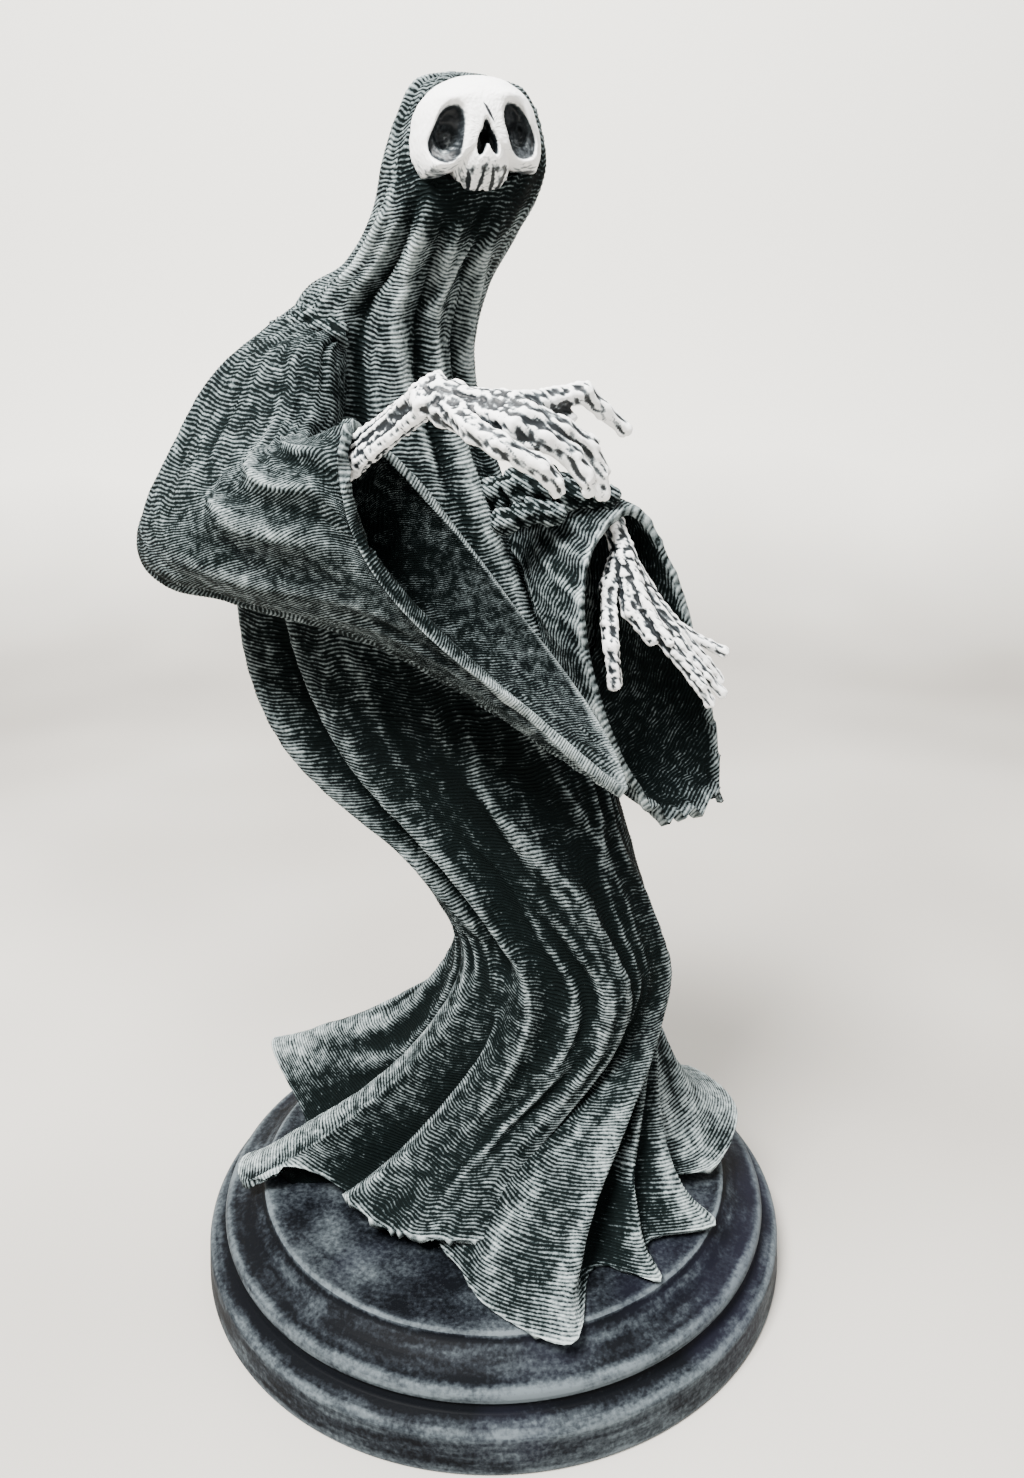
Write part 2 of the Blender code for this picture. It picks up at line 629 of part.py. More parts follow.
def main():
    """Clears the scene and builds both pieces."""
    for thing in list(bpy.data.objects):
        bpy.data.objects.remove(thing, do_unlink=True)
    make_plinth()
    make_figure()


main()
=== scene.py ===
"""Looks of the wraith statue: ribbed, dry-brushed robe, chalky skull and hands, washed plinth.

The forms are the same as in the model's source, in the same drawing units, made finer and dressed with
ribs, wrinkles, tatters and paint. Two vertex values steer the paint. brush is 0 where only the dark base
coat shows and 1 where the pale brush caught the surface; in places it also carries painted light and
shade. rib_phase counts the ribs along the cloth.
"""
import math

import bmesh
import bpy
import numpy as np
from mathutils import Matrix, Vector


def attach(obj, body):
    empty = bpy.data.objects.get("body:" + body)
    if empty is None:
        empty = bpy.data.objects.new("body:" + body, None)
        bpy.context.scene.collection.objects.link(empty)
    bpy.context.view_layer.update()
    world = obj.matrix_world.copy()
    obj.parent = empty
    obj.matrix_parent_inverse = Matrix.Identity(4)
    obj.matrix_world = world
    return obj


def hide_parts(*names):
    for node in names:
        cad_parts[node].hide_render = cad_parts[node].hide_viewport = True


# Sizes of the finer surface, in the figure's drawing units
RIB_PITCH = 0.95
RIB_HEIGHT = 0.22
WRINKLE_HEIGHT = 0.6
SKULL_ROUGHNESS = 0.07

# Rows of points to each rib, and the size of the noise's table
ROWS_PER_RIB = 3.3
NOISE_TABLE = 257

# A crest of the cloth is measured over one part in so many of the way round, thin or broad
THIN_CREST = 90
THIN_SCALE = 70
BROAD_CREST = 22

# Weak places in the ribs and long wrinkles, each as a count round the cloth
WEAK_PLACES = 90
LONG_WRINKLES = 30

# Flutes along each bone, and the share of its radius that they cut
BONE_FLUTES = 4
FLUTE_DEPTH = 0.16

# Height above the skull's middle where its crown is pressed down, and the share that is kept
CROWN_START = 4.0
CROWN_SHARE = 0.8

# How far the hood is pressed in behind the face, and how much painted shade darkens it under the jaw
HOOD_PRESS = 8.0
JAW_SHADE = 0.3

# Size of the smallest form kept where bones or gathered cloth are fused, in metres
BONE_GRAIN = 0.00036
CLOTH_GRAIN = 0.0005

# The photograph's viewpoint, in metres, the degrees it looks down and its lens in millimetres
CAMERA_PLACE = (0.0050, -0.2702, 0.2406)
CAMERA_DOWN = 18.96
CAMERA_LENS = 28.0

# Tendons on the backs of the hands. Each chain: its joints, then its radius at both ends
RIGHT_TENDONS = (
    (((-8, -62, 208.5), (2, -65, 206.5), (10, -65, 204.5)), 1.3, 1.1),
    (((-8, -63, 207), (2, -68, 203.5), (9, -69, 200.5)), 1.3, 1.1),
    (((-9, -63, 205), (0, -70, 201), (6, -72, 198)), 1.3, 1.1),
    (((-8, -60, 209), (3, -62, 206), (12, -60, 205.5)), 1.2, 1.0),
    (((-40, -31, 186), (-25, -45, 196), (-10, -61, 209)), 1.2, 1.4),
    (((-38, -34, 184), (-24, -48, 194), (-10, -63, 205)), 1.2, 1.4),
)
LEFT_TENDONS = (
    (((31, 0, 170), (33, -4, 160), (36, -6, 152)), 1.3, 1.1),
    (((32, -1, 169), (36, -5, 158), (42, -8, 149)), 1.3, 1.1),
    (((33, 1, 168), (39, 0, 157), (45, -1, 150)), 1.3, 1.0),
    (((33, 3, 168), (37, 6, 160), (43, 8, 153)), 1.2, 1.0),
)

# Gathered cloth that covers the end of the left forearm, as a chain like those in GATHERS
BACK_GATHERS = ((((8, 7, 184), (15, 8.5, 184.2), (22, 7, 181.5)), 3.8, 3.4),)

# Driving dimensions of the plinth
PLINTH_RADIUS = 0.080
PLINTH_HEIGHT = 0.0245
TOP_DISC_RADIUS = 0.064
FOOT_BAND_HEIGHT = 0.0115
BEAD_WIDTH = 0.0045
GROOVE_DEPTH = 0.0026

# Driving dimensions of the figure
FIGURE_HEIGHT = 0.2665
CLOTH_WALL = 0.0021
FOOT_GAP = 0.0003

# The figure's own drawing units
DRAWN_HEIGHT = 266.0
UNIT = FIGURE_HEIGHT / DRAWN_HEIGHT
WALL = CLOTH_WALL / UNIT
LIFT = PLINTH_HEIGHT + FOOT_GAP

# Robe, crown to thigh. Each row: left x and z, right x and z, depth centre y, half depth
ROBE = (
    (-6, 266, -6, 266, -12, 0.01),
    (-14, 264, 7, 262.5, -12, 9),
    (-18, 258, 11, 254, -12, 14),
    (-21, 250, 11, 246, -10, 16),
    (-24, 241, 6, 237, -7, 15.5),
    (-31, 232, 0, 227, -1, 14.5),
    (-43, 223, -4, 212, 4, 16),
    (-52, 194, 0, 193, 8, 20),
    (-59, 159, 12, 158, 8, 24),
    (-50, 125, 27, 121, 4, 25),
    (-25, 98, 36, 93, 0, 23),
    (-12, 78, 43, 68, -3, 21),
)
THIGH = len(ROBE) - 1
HEM = THIGH + 3
SKIRT_SWING = 24.0
HEM_SLOPE = 0.45

# Pieces of the robe. Each row: name, start and end down the robe, columns
ROBE_PIECES = (
    ("robe_upper", 0.0, 8.2, 150),
    ("robe_hips", 8.2, 11.2, 175),
    ("robe_skirt", 11.2, float(HEM), 240),
)

# Strength of the wrinkles, then paleness, each by the place down the robe. The paleness holds painted light
# and shade: paler on the chest as if lit from above, darkest at the hips as painted shade under the
# sleeves.
ROBE_WRINKLES = ((0, 0.7), (1, 1.2), (7, 1.1), (10, 1.0), (13, 1.2), (HEM - 0.3, 1.2), (HEM, 0.1))
ROBE_PALENESS_AND_PAINTED_LIGHT = ((0, 0.49), (5, 0.57), (7, 0.44), (9, 0.26), (11, 0.30), (HEM, 0.41))
SLEEVE_PALENESS = 0.42

# Hem of the skirt. Each row: angle at the thigh, angle at the hem, reach from HEM_CENTRE, height
HEM_CENTRE = (0.0, -6.0)
HEM_FOLDS = (
    (6, 313, 60, 1.5),
    (13, 322, 50, 2),
    (20, 336, 63, 2.5),
    (27, 345, 48, 5),
    (34, 354, 61, 5),
    (45, 370, 70, 10),
    (56, 385, 62, 14),
    (70, 398, 52, 3),
    (85, 412, 62, 7),
    (98, 428, 50, 2),
    (112, 444, 60, 6),
    (125, 460, 48, 2),
    (138, 476, 61, 8),
    (152, 492, 52, 4),
    (172, 512, 76, 17),
    (192, 526, 56, 1),
    (205, 540, 69, 3),
    (212, 548, 68, 2),
    (219, 551, 57, 8),
    (225, 555, 47, 6),
    (231, 563, 40, 1),
    (238, 568, 44, 7),
    (262, 588, 41, 6),
    (285, 612, 38, 7),
    (300, 630, 36, 7),
    (308, 637, 33, 7),
    (318, 608, 34, 3),
    (326, 619, 41, 2),
    (336, 630, 52, 1),
    (350, 647, 64.5, 1),
    (358, 663, 46, 1),
)

# Folds of the robe. Each row: start and end down the robe, angle at start, middle and end, height, width
ROBE_FOLDS = (
    (7.4, 11.0, 189, 208, 229, 5.0, 10),
    (7.8, 11.4, 216, 229, 240, -8.0, 9),
    (8.0, 13.0, 240, 247, 260, 3.5, 8),
    (8.4, 11.6, 258, 264, 274, -3.0, 8),
    (8.6, 13.4, 283, 300, 309, 4.0, 9),
    (9.0, 13.6, 322, 346, 352, 3.5, 9),
    (9.1, 10.4, 280, 288, 298, 2.0, 6),
    (9.6, 11.6, 271, 283, 293, 2.0, 6),
    (7.6, 12.6, 228, 246, 262, 2.4, 6),
    (7.8, 12.8, 250, 268, 282, 2.2, 6),
    (8.2, 13.2, 272, 291, 299, 2.0, 5),
    (7.8, 12.0, 300, 318, 326, 2.2, 6),
    (3.4, 6.4, 222, 229, 233, 2.4, 8),
    (3.4, 7.6, 254, 275, 305, 2.6, 7),
    (3.5, 9.6, 281, 312, 338, 2.8, 7),
    (3.5, 8.4, 306, 335, 345, 2.4, 7),
    (3.3, 6.8, 238, 243, 250, 1.6, 5),
    (3.6, 7.5, 246, 256, 268, -2.2, 6),
    (3.6, 8.5, 268, 295, 322, -2.4, 6),
    (3.4, 8.0, 295, 322, 341, -1.8, 5),
)

# Sleeves, shoulder to mouth. Each row: inner point, outer point, bulge to the front, bulge to the back
RIGHT_SLEEVE = (
    ((-28, -4, 216), (-40, 4, 222), 9, 9),
    ((-32, -15, 214), (-58, 0, 206), 11, 11),
    ((-33, -22, 203), (-69, -3, 188), 13, 13),
    ((-35, -28, 198), (-75, -10, 171), 14, 14),
    ((-35, -33, 197), (-67, -18, 164), 14, 15),
    ((-33, -40, 198), (-50, -26, 163), 13, 17),
    ((-29, -45, 200), (-18, -36, 155), 11, 22),
    ((-26, -48, 201), (29, -35, 122), 9, 26),
)
LEFT_SLEEVE = (
    ((-4, 6, 186), (6, 6, 160), 8, 8),
    ((12, 4, 184), (20, 8, 138), 11, 12),
    ((22, 3, 182), (37, 13, 113), 21, 15),
    ((31, 0, 179), (57, 12, 103), 28, 12),
)

# The way each sleeve's front faces, the draw of the lip, the reach of the tatters, the section's squareness
RIGHT_FRONT = (-0.3, -0.9, 0.3)
LEFT_FRONT = (-0.72, -0.68, 0.1)
RIGHT_LIP = 11.0
TATTER_REACH = 0.35
SLEEVE_POWER = 2.4

# Folds of the sleeves. Each row: start and end along the sleeve, three angles, height, width
RIGHT_FOLDS = (
    (3.0, 6.7, 348, 334, 332, 2.0, 9),
    (3.2, 6.8, 322, 304, 308, 2.3, 9),
    (3.3, 6.7, 292, 276, 284, 2.1, 9),
    (3.6, 6.4, 256, 248, 262, 1.6, 9),
    (0.8, 3.4, 300, 288, 270, 1.6, 11),
    (0.6, 3.2, 262, 250, 236, 1.4, 11),
)
LEFT_FOLDS = (
    (0.3, 2.9, 232, 226, 220, 1.6, 9),
    (0.3, 2.9, 262, 256, 250, 1.6, 9),
    (0.4, 2.9, 292, 288, 284, 1.4, 9),
)

# Torn lower edge of the left sleeve. Each row: angle from its lowest point, depth, width in degrees
LEFT_TATTERS = (
    (-64, 3.0, 5),
    (-46, 2.4, 5),
    (-24, 8.0, 9),
    (-6, 2.2, 4),
    (8, 3.4, 5),
    (22, 2.0, 4),
    (36, 3.4, 5),
    (52, 2.2, 5),
)

# Gathered cloth. Each chain: its points, then its radius at both ends
GATHERS = (
    (((-44, -4, 219), (-38, -9, 220), (-32, -12, 217)), 3.2, 2.6),
    (((1, -4, 183), (6, -6, 185), (12, -5, 184), (19, -3, 183), (27, 0, 182)), 4.0, 3.2),
    (((3, -11, 178), (9, -10, 180), (15, -8, 179)), 3.0, 2.4),
)


def smooth(rows, at, closed=False):
    """Smooth curve through rows, which lie at the whole numbers of the parameter."""
    rows = np.asarray(rows, float)
    at = np.asarray(at, float)
    last = len(rows) - 1
    start = np.floor(at).astype(int)
    if not closed:
        start = np.clip(start, 0, last - 1)
    part = (at - start)[..., None]
    steps = [start + step for step in (-1, 0, 1, 2)]
    if closed:
        before, here, there, after = (rows[step % (last + 1)] for step in steps)
    else:
        before, here, there, after = (rows[np.clip(step, 0, last)] for step in steps)
    slope = there - before
    bend = 2 * before - 5 * here + 4 * there - after
    turn = 3 * here - before - 3 * there + after
    return 0.5 * (2 * here + slope * part + bend * part**2 + turn * part**3)


def unit(vectors):
    """Vectors of length one."""
    return vectors / np.maximum(np.linalg.norm(vectors, axis=-1, keepdims=True), 1e-9)


def round_angles(columns):
    """The angle of each column of a closed grid."""
    return np.linspace(0, 2 * math.pi, columns, endpoint=False)


def normals(grid):
    """Outward normals of a grid whose rows run down and whose columns run round."""
    around = np.roll(grid, -1, 1) - np.roll(grid, 1, 1)
    down = np.gradient(grid, axis=0)
    return unit(np.cross(down, around))


def hem_line(theta):
    """The hem's own curve, by the angle at the thigh."""
    folds = np.array(HEM_FOLDS, float)
    angles = np.radians(folds[:, 0])
    count = len(folds)
    turn = 2 * math.pi
    knots = np.concatenate([angles, [angles[0] + turn]])
    inside = (np.asarray(theta, float) - angles[0]) % turn + angles[0]
    at = np.interp(inside, knots, np.arange(count + 1))
    hem_angle = np.radians(folds[:, 1])
    points = np.stack(
        [
            HEM_CENTRE[0] + folds[:, 2] * np.cos(hem_angle),
            HEM_CENTRE[1] + folds[:, 2] * np.sin(hem_angle),
            folds[:, 3],
        ],
        -1,
    )
    return smooth(points, at, closed=True)


def body_ring(theta, down):
    """The robe without its folds, from the crown to the thigh."""
    left_x, left_z, right_x, right_z, depth_y, depth = np.moveaxis(smooth(ROBE, down), -1, 0)
    across = np.cos(theta)
    x = (left_x + right_x) / 2 + (right_x - left_x) / 2 * across
    z = (left_z + right_z) / 2 + (right_z - left_z) / 2 * across
    return np.stack([x, depth_y + depth * np.sin(theta), z], -1)


def fold_heights(theta, down, folds):
    """How far a table of folds stands out from the cloth."""
    total = np.zeros(np.broadcast(theta, down).shape)
    degrees = np.degrees(theta) % 360
    for start, end, angle_0, angle_1, angle_2, height, width in folds:
        part = np.clip((down - start) / (end - start), 0, 1)
        angle = smooth([[angle_0], [angle_1], [angle_2]], part * 2)[..., 0]
        fade = np.sin(math.pi * part) ** 0.7
        away = np.abs((degrees - angle + 180) % 360 - 180) / width
        total += height * fade * np.exp(-(away**1.4))
    return total


def robe(theta, down):
    """The whole robe with its folds. down runs from 0 at the crown to HEM at the hem."""
    theta, down = np.broadcast_arrays(theta, down)
    body = body_ring(theta, np.minimum(down, THIGH))
    above = body_ring(theta, np.full(theta.shape, THIGH - 0.15))
    thigh = body_ring(theta, np.full(theta.shape, float(THIGH)))
    hem = hem_line(theta)
    out = hem - np.array([*HEM_CENTRE, 0.0])
    out[..., 2] = -HEM_SLOPE * np.linalg.norm(out[..., :2], axis=-1)
    first = thigh + unit(thigh - above) * SKIRT_SWING
    second = hem - unit(out) * SKIRT_SWING
    part = np.clip((down - THIGH) / (HEM - THIGH), 0, 1)[..., None]
    rest = 1 - part
    skirt = rest**3 * thigh + 3 * rest**2 * part * first + 3 * rest * part**2 * second + part**3 * hem
    base = np.where((down < THIGH)[..., None], body, skirt)
    outward = np.stack([np.cos(theta), np.sin(theta), np.zeros(theta.shape)], -1)
    return base + outward * fold_heights(theta, down, ROBE_FOLDS)[..., None]


def sleeve(rows, front, around, along, lip=0.0):
    """A sleeve's surface. around is an angle from the inner line, along runs from shoulder to mouth.

    lip is how far the front edge of the mouth is drawn back, most of all just below its top.
    """
    table = np.array([[*inner, *outer, near, far] for inner, outer, near, far in rows], float)
    values = smooth(table, along)
    inner, outer = values[..., 0:3], values[..., 3:6]
    chord = outer - inner
    length = np.linalg.norm(chord, axis=-1, keepdims=True)
    chord = chord / length
    facing = np.asarray(front, float)
    facing = unit(facing - (chord @ facing)[..., None] * chord)
    cos, sin = np.cos(around), -np.sin(around)
    flat = 2 / SLEEVE_POWER
    along_chord = (np.sign(cos) * np.abs(cos) ** flat)[..., None]
    across = (np.sign(sin) * np.abs(sin) ** flat)[..., None]
    bulge = np.where(sin >= 0, values[..., 6], values[..., 7])[..., None]
    middle = (inner + outer) / 2
    points = middle - chord * along_chord * length / 2 + facing * across * bulge
    below_top = (1 - along_chord) / 2
    drawn = lip * np.sin(math.pi * np.clip(below_top, 0, 1) ** 0.55) ** 1.5 * np.clip(across * 2.5, 0, 1)
    drawn = drawn * np.clip(along - len(rows) + 2.3, 0, 1.3)[..., None] / 1.3
    return points - np.cross(facing, chord) * drawn


def sleeve_outside(rows, front, around, along, folds, lip=0.0, tatters=()):
    """A sleeve's outer face with its folds and torn lower edge."""
    mouth = len(rows) - 1
    outside = sleeve(rows, front, around, along, lip)
    outside = outside + normals(outside) * fold_heights(around, along, folds)[..., None]
    degrees = np.degrees(around) - 180
    near_mouth = np.clip((along - mouth) / TATTER_REACH + 1, 0, 1)
    for angle, depth, width in tatters:
        outside[..., 2] -= depth * near_mouth * np.exp(-(((degrees - angle) / width) ** 2))
    return outside


# Skull outline. Each row: angle from the top, radius
SKULL_OUTLINE = (
    (0, 12.6),
    (28, 12.8),
    (53, 12.6),
    (80, 12.4),
    (104, 13.2),
    (120, 13.2),
    (129, 11.0),
    (136, 8.2),
    (147, 9.6),
    (160, 10.3),
    (180, 9.9),
)
SKULL_CENTRE = np.array([-3.0, -17.0, 253.0])
SKULL_TURN = math.radians(13)
SKULL_ROLL = math.radians(-4)
SOCKET_LEAN = 0.28
TOOTH_PITCH = 2.2

# Gaps between the teeth. Each row: place across, lean
TOOTH_GAPS = ((-3.2, 0.25), (-1.1, -0.12), (1.2, 0.2), (3.2, -0.3))


def dent(across, up, centre, size, tilt, edge=0.25):
    """One inside a tilted oval, nothing outside it, with a soft edge."""
    cos, sin = math.cos(tilt), math.sin(tilt)
    dx, dz = across - centre[0], up - centre[1]
    along = (dx * cos + dz * sin) / size[0]
    over = (dz * cos - dx * sin) / size[1]
    away = np.sqrt(along**2 + over**2)
    return 1 / (1 + np.exp((away - 1) / (edge * 0.35)))


def skull_depth(across, up, rim):
    """How far the face stands out in front of the skull's centre. rim is 1 at the outline."""
    depth = 2.0 + 13.5 * np.sqrt(np.clip(1 - rim**2.6, 0, 1))
    side = np.abs(across)
    depth += 1.6 * np.exp(-((side - 9.5) ** 2 / 7 + (up + 5.5) ** 2 / 4))
    depth += 0.9 * np.exp(-((side - 5.5) ** 2 / 12 + (up - 6.6) ** 2 / 2))
    depth += 1.2 * np.exp(-(across**2 / 20 + (up + 6.5) ** 2 / 10))
    for edge in (-1, 1):
        depth -= 4.0 * dent(across, up, (edge * 6.3, 1.2), (2.4, 3.7), edge * SOCKET_LEAN)
        depth -= 2.8 * dent(across, up, (edge * 7.4, -1.6), (2.9, 3.2), edge * SOCKET_LEAN)
        depth -= 3.4 * dent(across, up, (edge * 1.0, -1.9), (0.8, 2.1), edge * SOCKET_LEAN)
    depth -= 3.4 * dent(across, up, (0.1, -0.2), (0.75, 1.9), 0)
    teeth = np.clip((-up - 6.4) / 0.8, 0, 1) * (side < 4.8)
    return depth - teeth * 0.9 * np.abs(np.cos(across * math.pi / TOOTH_PITCH)) ** 8


def skull_axes():
    """The skull's own directions: to its side and out of its face."""
    right = np.array([math.cos(SKULL_TURN), math.sin(SKULL_TURN), 0])
    ahead = np.array([math.sin(SKULL_TURN), -math.cos(SKULL_TURN), 0])
    return right, ahead


def skull_wash_and_shade(across, up):
    """Where dark wash stays on the skull, from 0 up: sockets, nose, between the teeth and one crack, and
    painted shade under the cheekbones.
    """
    wash_and_shade = np.zeros(across.shape)
    for edge in (-1, 1):
        lean = edge * SOCKET_LEAN
        rim = dent(across, up, (edge * 6.3, 1.2), (2.5, 3.8), lean, 0.1)
        rim = rim + dent(across, up, (edge * 7.4, -1.6), (3.0, 3.3), lean, 0.1)
        rim = rim + dent(across, up, (edge * 6.9, -0.2), (2.8, 3.6), lean, 0.1)
        core = dent(across, up, (edge * 7.4, -2.2), (2.0, 2.8), lean, 0.6)
        wash_and_shade += 2.7 * np.clip(rim, 0, 1) - 0.9 * core
        wash_and_shade += 0.9 * dent(across, up, (edge * 5.6, 2.6), (1.6, 2.2), lean, 0.5)
        wash_and_shade += 5.0 * dent(across, up, (edge * 1.0, -1.9), (0.8, 2.1), lean)
        # Painted shade under each cheekbone
        wash_and_shade += 1.4 * dent(across, up, (edge * 8.4, -6.8), (2.6, 0.8), 0, 0.9)
    wash_and_shade += 5.0 * dent(across, up, (0.1, -0.2), (0.75, 1.9), 0)
    wash_and_shade += 4.5 * dent(across, up, (0.5, 3.0), (0.25, 1.7), 0.45, 0.6)
    for middle, lean in TOOTH_GAPS:
        wash_and_shade += 3.6 * dent(across, up, (middle, -8.3), (0.30, 1.8), lean, 0.5)
        wash_and_shade += 1.6 * dent(across, up, (middle + 0.3, -6.3), (0.5, 0.5), lean, 0.8)
    return wash_and_shade


def skull_surface(columns, rows):
    """The skull's face in polar rows from its middle, then its back inside the hood, with its wash and
    painted shade.
    """
    outline = np.array(SKULL_OUTLINE, float)
    angle = round_angles(columns)[None, :]
    fold = np.degrees(np.minimum(angle, 2 * math.pi - angle))
    radius = np.interp(fold, outline[:, 0], outline[:, 1])
    rim = np.sin(np.linspace(0.002, math.pi / 2, rows))[:, None]
    across = rim * radius * np.sin(angle)
    up = rim * radius * np.cos(angle)
    face = skull_depth(across, up, rim * np.ones_like(angle))
    wash_and_shade = skull_wash_and_shade(across, up)
    wash_and_shade = np.concatenate([wash_and_shade, np.zeros((3, columns))])
    shrink = np.array([1.0, 0.8, 0.02])[:, None]
    behind = np.array([-3.0, -8.0, -9.0])[:, None] * np.ones_like(angle)
    across = np.concatenate([across, shrink * (radius * np.sin(angle))])
    up = np.concatenate([up, shrink * (radius * np.cos(angle))])
    face = np.concatenate([face, behind])
    up = np.where(up > CROWN_START, CROWN_START + CROWN_SHARE * (up - CROWN_START), up)
    cos, sin = math.cos(SKULL_ROLL), math.sin(SKULL_ROLL)
    across, up = across * cos + up * sin, up * cos - across * sin
    right, ahead = skull_axes()
    above = np.array([0.0, 0.0, 1.0])
    grid = SKULL_CENTRE + across[..., None] * right + face[..., None] * ahead + up[..., None] * above
    return grid, wash_and_shade


# Hands. Each chain: its joints from the sleeve or wrist out to the tip, then its radius at both ends
RIGHT_WRIST = (-8, -60, 207)
RIGHT_HAND = (
    (((-58, -12, 186), (-38, -32, 183), (-26, -45, 193), (-9, -59, 206)), 2.4, 2.6),
    (((-36, -30, 186), (-24, -43, 198), (-8, -58, 209)), 2.0, 2.4),
    (((-10, -62, 206), (-5, -61, 207), (-3, -65, 203)), 2.9, 2.6),
    ((RIGHT_WRIST, (6, -65, 205.7), (11.3, -61, 206.3)), 2.5, 2.1),
    (((11.3, -61, 206.3), (17.7, -57, 207.3), (21.2, -54.5, 204.3), (25.5, -52.5, 200.7)), 2.2, 1.6),
    ((RIGHT_WRIST, (7.4, -67, 204), (13.3, -65, 201.7), (18.5, -62, 198.4)), 2.6, 2.2),
    (((18.5, -62, 198.4), (20.8, -61, 193.9), (21.3, -60, 190.1)), 2.2, 1.6),
    ((RIGHT_WRIST, (5.5, -69, 202.6), (10.6, -68, 200.3), (15.2, -66.5, 197.1)), 2.6, 2.2),
    (((15.2, -66.5, 197.1), (17.8, -66, 193.7), (18.3, -65, 191.4)), 2.2, 1.6),
    ((RIGHT_WRIST, (-1.9, -70, 202), (3, -72, 199.4), (9.7, -71, 195.7)), 2.5, 2.1),
    (((9.7, -71, 195.7), (12.2, -70, 193.3), (12.7, -69, 191.7)), 2.1, 1.5),
    (((-6, -61, 206), (2, -63, 203.5), (9, -62, 202), (15, -58, 203)), 2.4, 1.7),
    (((-7, -63, 204), (1, -67, 201), (8, -68, 199)), 2.5, 1.9),
)
LEFT_WRIST = (31, 2, 170)
LEFT_HAND = (
    (((14, 8, 184), (24, 6, 180), (29, 4, 175), (31, 2, 169)), 2.8, 3.0),
    ((LEFT_WRIST, (27.8, -2, 161.7), (27.8, -6, 153.8), (28.2, -8, 148.8), (29.4, -8, 139.3)), 2.7, 2.0),
    ((LEFT_WRIST, (35.6, -3, 156.9), (43, -6, 147), (49.7, -6.5, 138.8), (52.5, -6, 134.2)), 2.6, 1.6),
    ((LEFT_WRIST, (36.9, 0, 158), (45.2, -2, 147.2), (51.9, -2, 139.5), (56.2, -1, 134.9)), 2.4, 1.5),
    ((LEFT_WRIST, (37.7, 3, 159), (45.3, 3, 149.7), (52.5, 4, 141.4), (56.6, 5, 136.5)), 2.3, 1.5),
    ((LEFT_WRIST, (36.4, 5, 159.1), (42.6, 7, 151.8), (49.6, 8, 146.7), (58.2, 9, 142.6)), 2.3, 1.5),
    (((31, 0, 168), (33, -4, 156), (38, -6, 150)), 2.8, 2.0),
    (((32, 1, 168), (38, 1, 155), (44, 1, 149)), 2.6, 1.8),
    (((32, 2, 168), (36, -2, 156), (41, -4, 150)), 2.6, 1.8),
)


def bone_grids(chains, columns, rows):
    """Closed tapered tubes with thick ends, one for each stretch between two joints."""
    grids = []
    for joints, first_radius, last_radius in chains:
        joints = np.array(joints, float)
        radii = np.linspace(first_radius, last_radius, len(joints))
        for start, end, near, far in zip(joints, joints[1:], radii, radii[1:]):
            grids.append(bone_grid(start, end, near, far, columns, rows))
    return grids


def bone_grid(start, end, near, far, columns, rows):
    """One bone: a round bar, waisted in the middle, with domed ends."""
    axis = unit(end - start)
    side = unit(np.cross(axis, [0.3, 0.2, 1.0]))
    other = np.cross(axis, side)
    part = np.linspace(0, 1, rows)
    length = np.linalg.norm(end - start)
    along = -near + part * (length + near + far)
    radius = near + (far - near) * part
    radius = radius * (0.78 + 0.22 * np.abs(2 * part - 1) ** 2)
    cap = np.minimum((along + near) / near, (length + far - along) / far)
    radius = radius * np.sqrt(np.clip(1 - (1 - np.clip(cap, 0, 1)) ** 2, 0, 1))
    angle = round_angles(columns)
    ring = np.cos(angle)[:, None] * side + np.sin(angle)[:, None] * other
    return start + axis * along[:, None, None] + ring[None] * radius[:, None, None]


def add_grid(mesh, grid):
    """Adds a closed grid of rings to the mesh, its first and last rings drawn together."""
    columns = grid.shape[1]
    rings = [[mesh.verts.new(point) for point in row] for row in grid[1:-1].tolist()]
    first = mesh.verts.new(grid[0].mean(0).tolist())
    last = mesh.verts.new(grid[-1].mean(0).tolist())
    for upper, lower in zip(rings, rings[1:]):
        for column in range(columns):
            beside = (column + 1) % columns
            mesh.faces.new((upper[column], lower[column], lower[beside], upper[beside]))
    for column in range(columns):
        beside = (column + 1) % columns
        mesh.faces.new((first, rings[0][column], rings[0][beside]))
        mesh.faces.new((last, rings[-1][beside], rings[-1][column]))


def arc(centre, radius, start, end, steps):
    """Points on an arc in the profile's plane, angles in degrees from +X."""
    angles = [math.radians(start + (end - start) * step / steps) for step in range(steps + 1)]
    return [(centre[0] + radius * math.cos(a), centre[1] + radius * math.sin(a)) for a in angles]


def plinth_profile():
    """Half section of the plinth, from the middle of its top down to the middle of its underside."""
    top = PLINTH_HEIGHT
    shoulder = 0.0022
    bead_x = PLINTH_RADIUS - 0.0075
    bead_z = FOOT_BAND_HEIGHT + GROOVE_DEPTH + BEAD_WIDTH / 2
    slope_top = top - 0.0014
    profile = [(0.0, top), (TOP_DISC_RADIUS - 0.0012, top)]
    profile += arc((TOP_DISC_RADIUS - 0.0012, top - 0.0012), 0.0012, 60, 0, 2)
    profile.append((TOP_DISC_RADIUS + 0.0006, slope_top - 0.0006))
    profile.append((TOP_DISC_RADIUS + 0.0040, bead_z + 0.0036))
    profile.append((bead_x - 0.0020, bead_z + 0.0026))
    profile += arc((bead_x, bead_z), BEAD_WIDTH / 2, 100, -60, 5)
    profile.append((PLINTH_RADIUS - 0.0055, FOOT_BAND_HEIGHT + 0.0009))
    corner = (PLINTH_RADIUS - shoulder - 0.0006, FOOT_BAND_HEIGHT - shoulder)
    profile += arc(corner, shoulder, 80, 5, 4)
    profile.append((PLINTH_RADIUS - 0.0001, 0.0030))
    profile += arc((PLINTH_RADIUS - 0.0010, 0.0010), 0.0010, 0, -90, 2)
    profile.append((0.0, 0.0))
    return profile


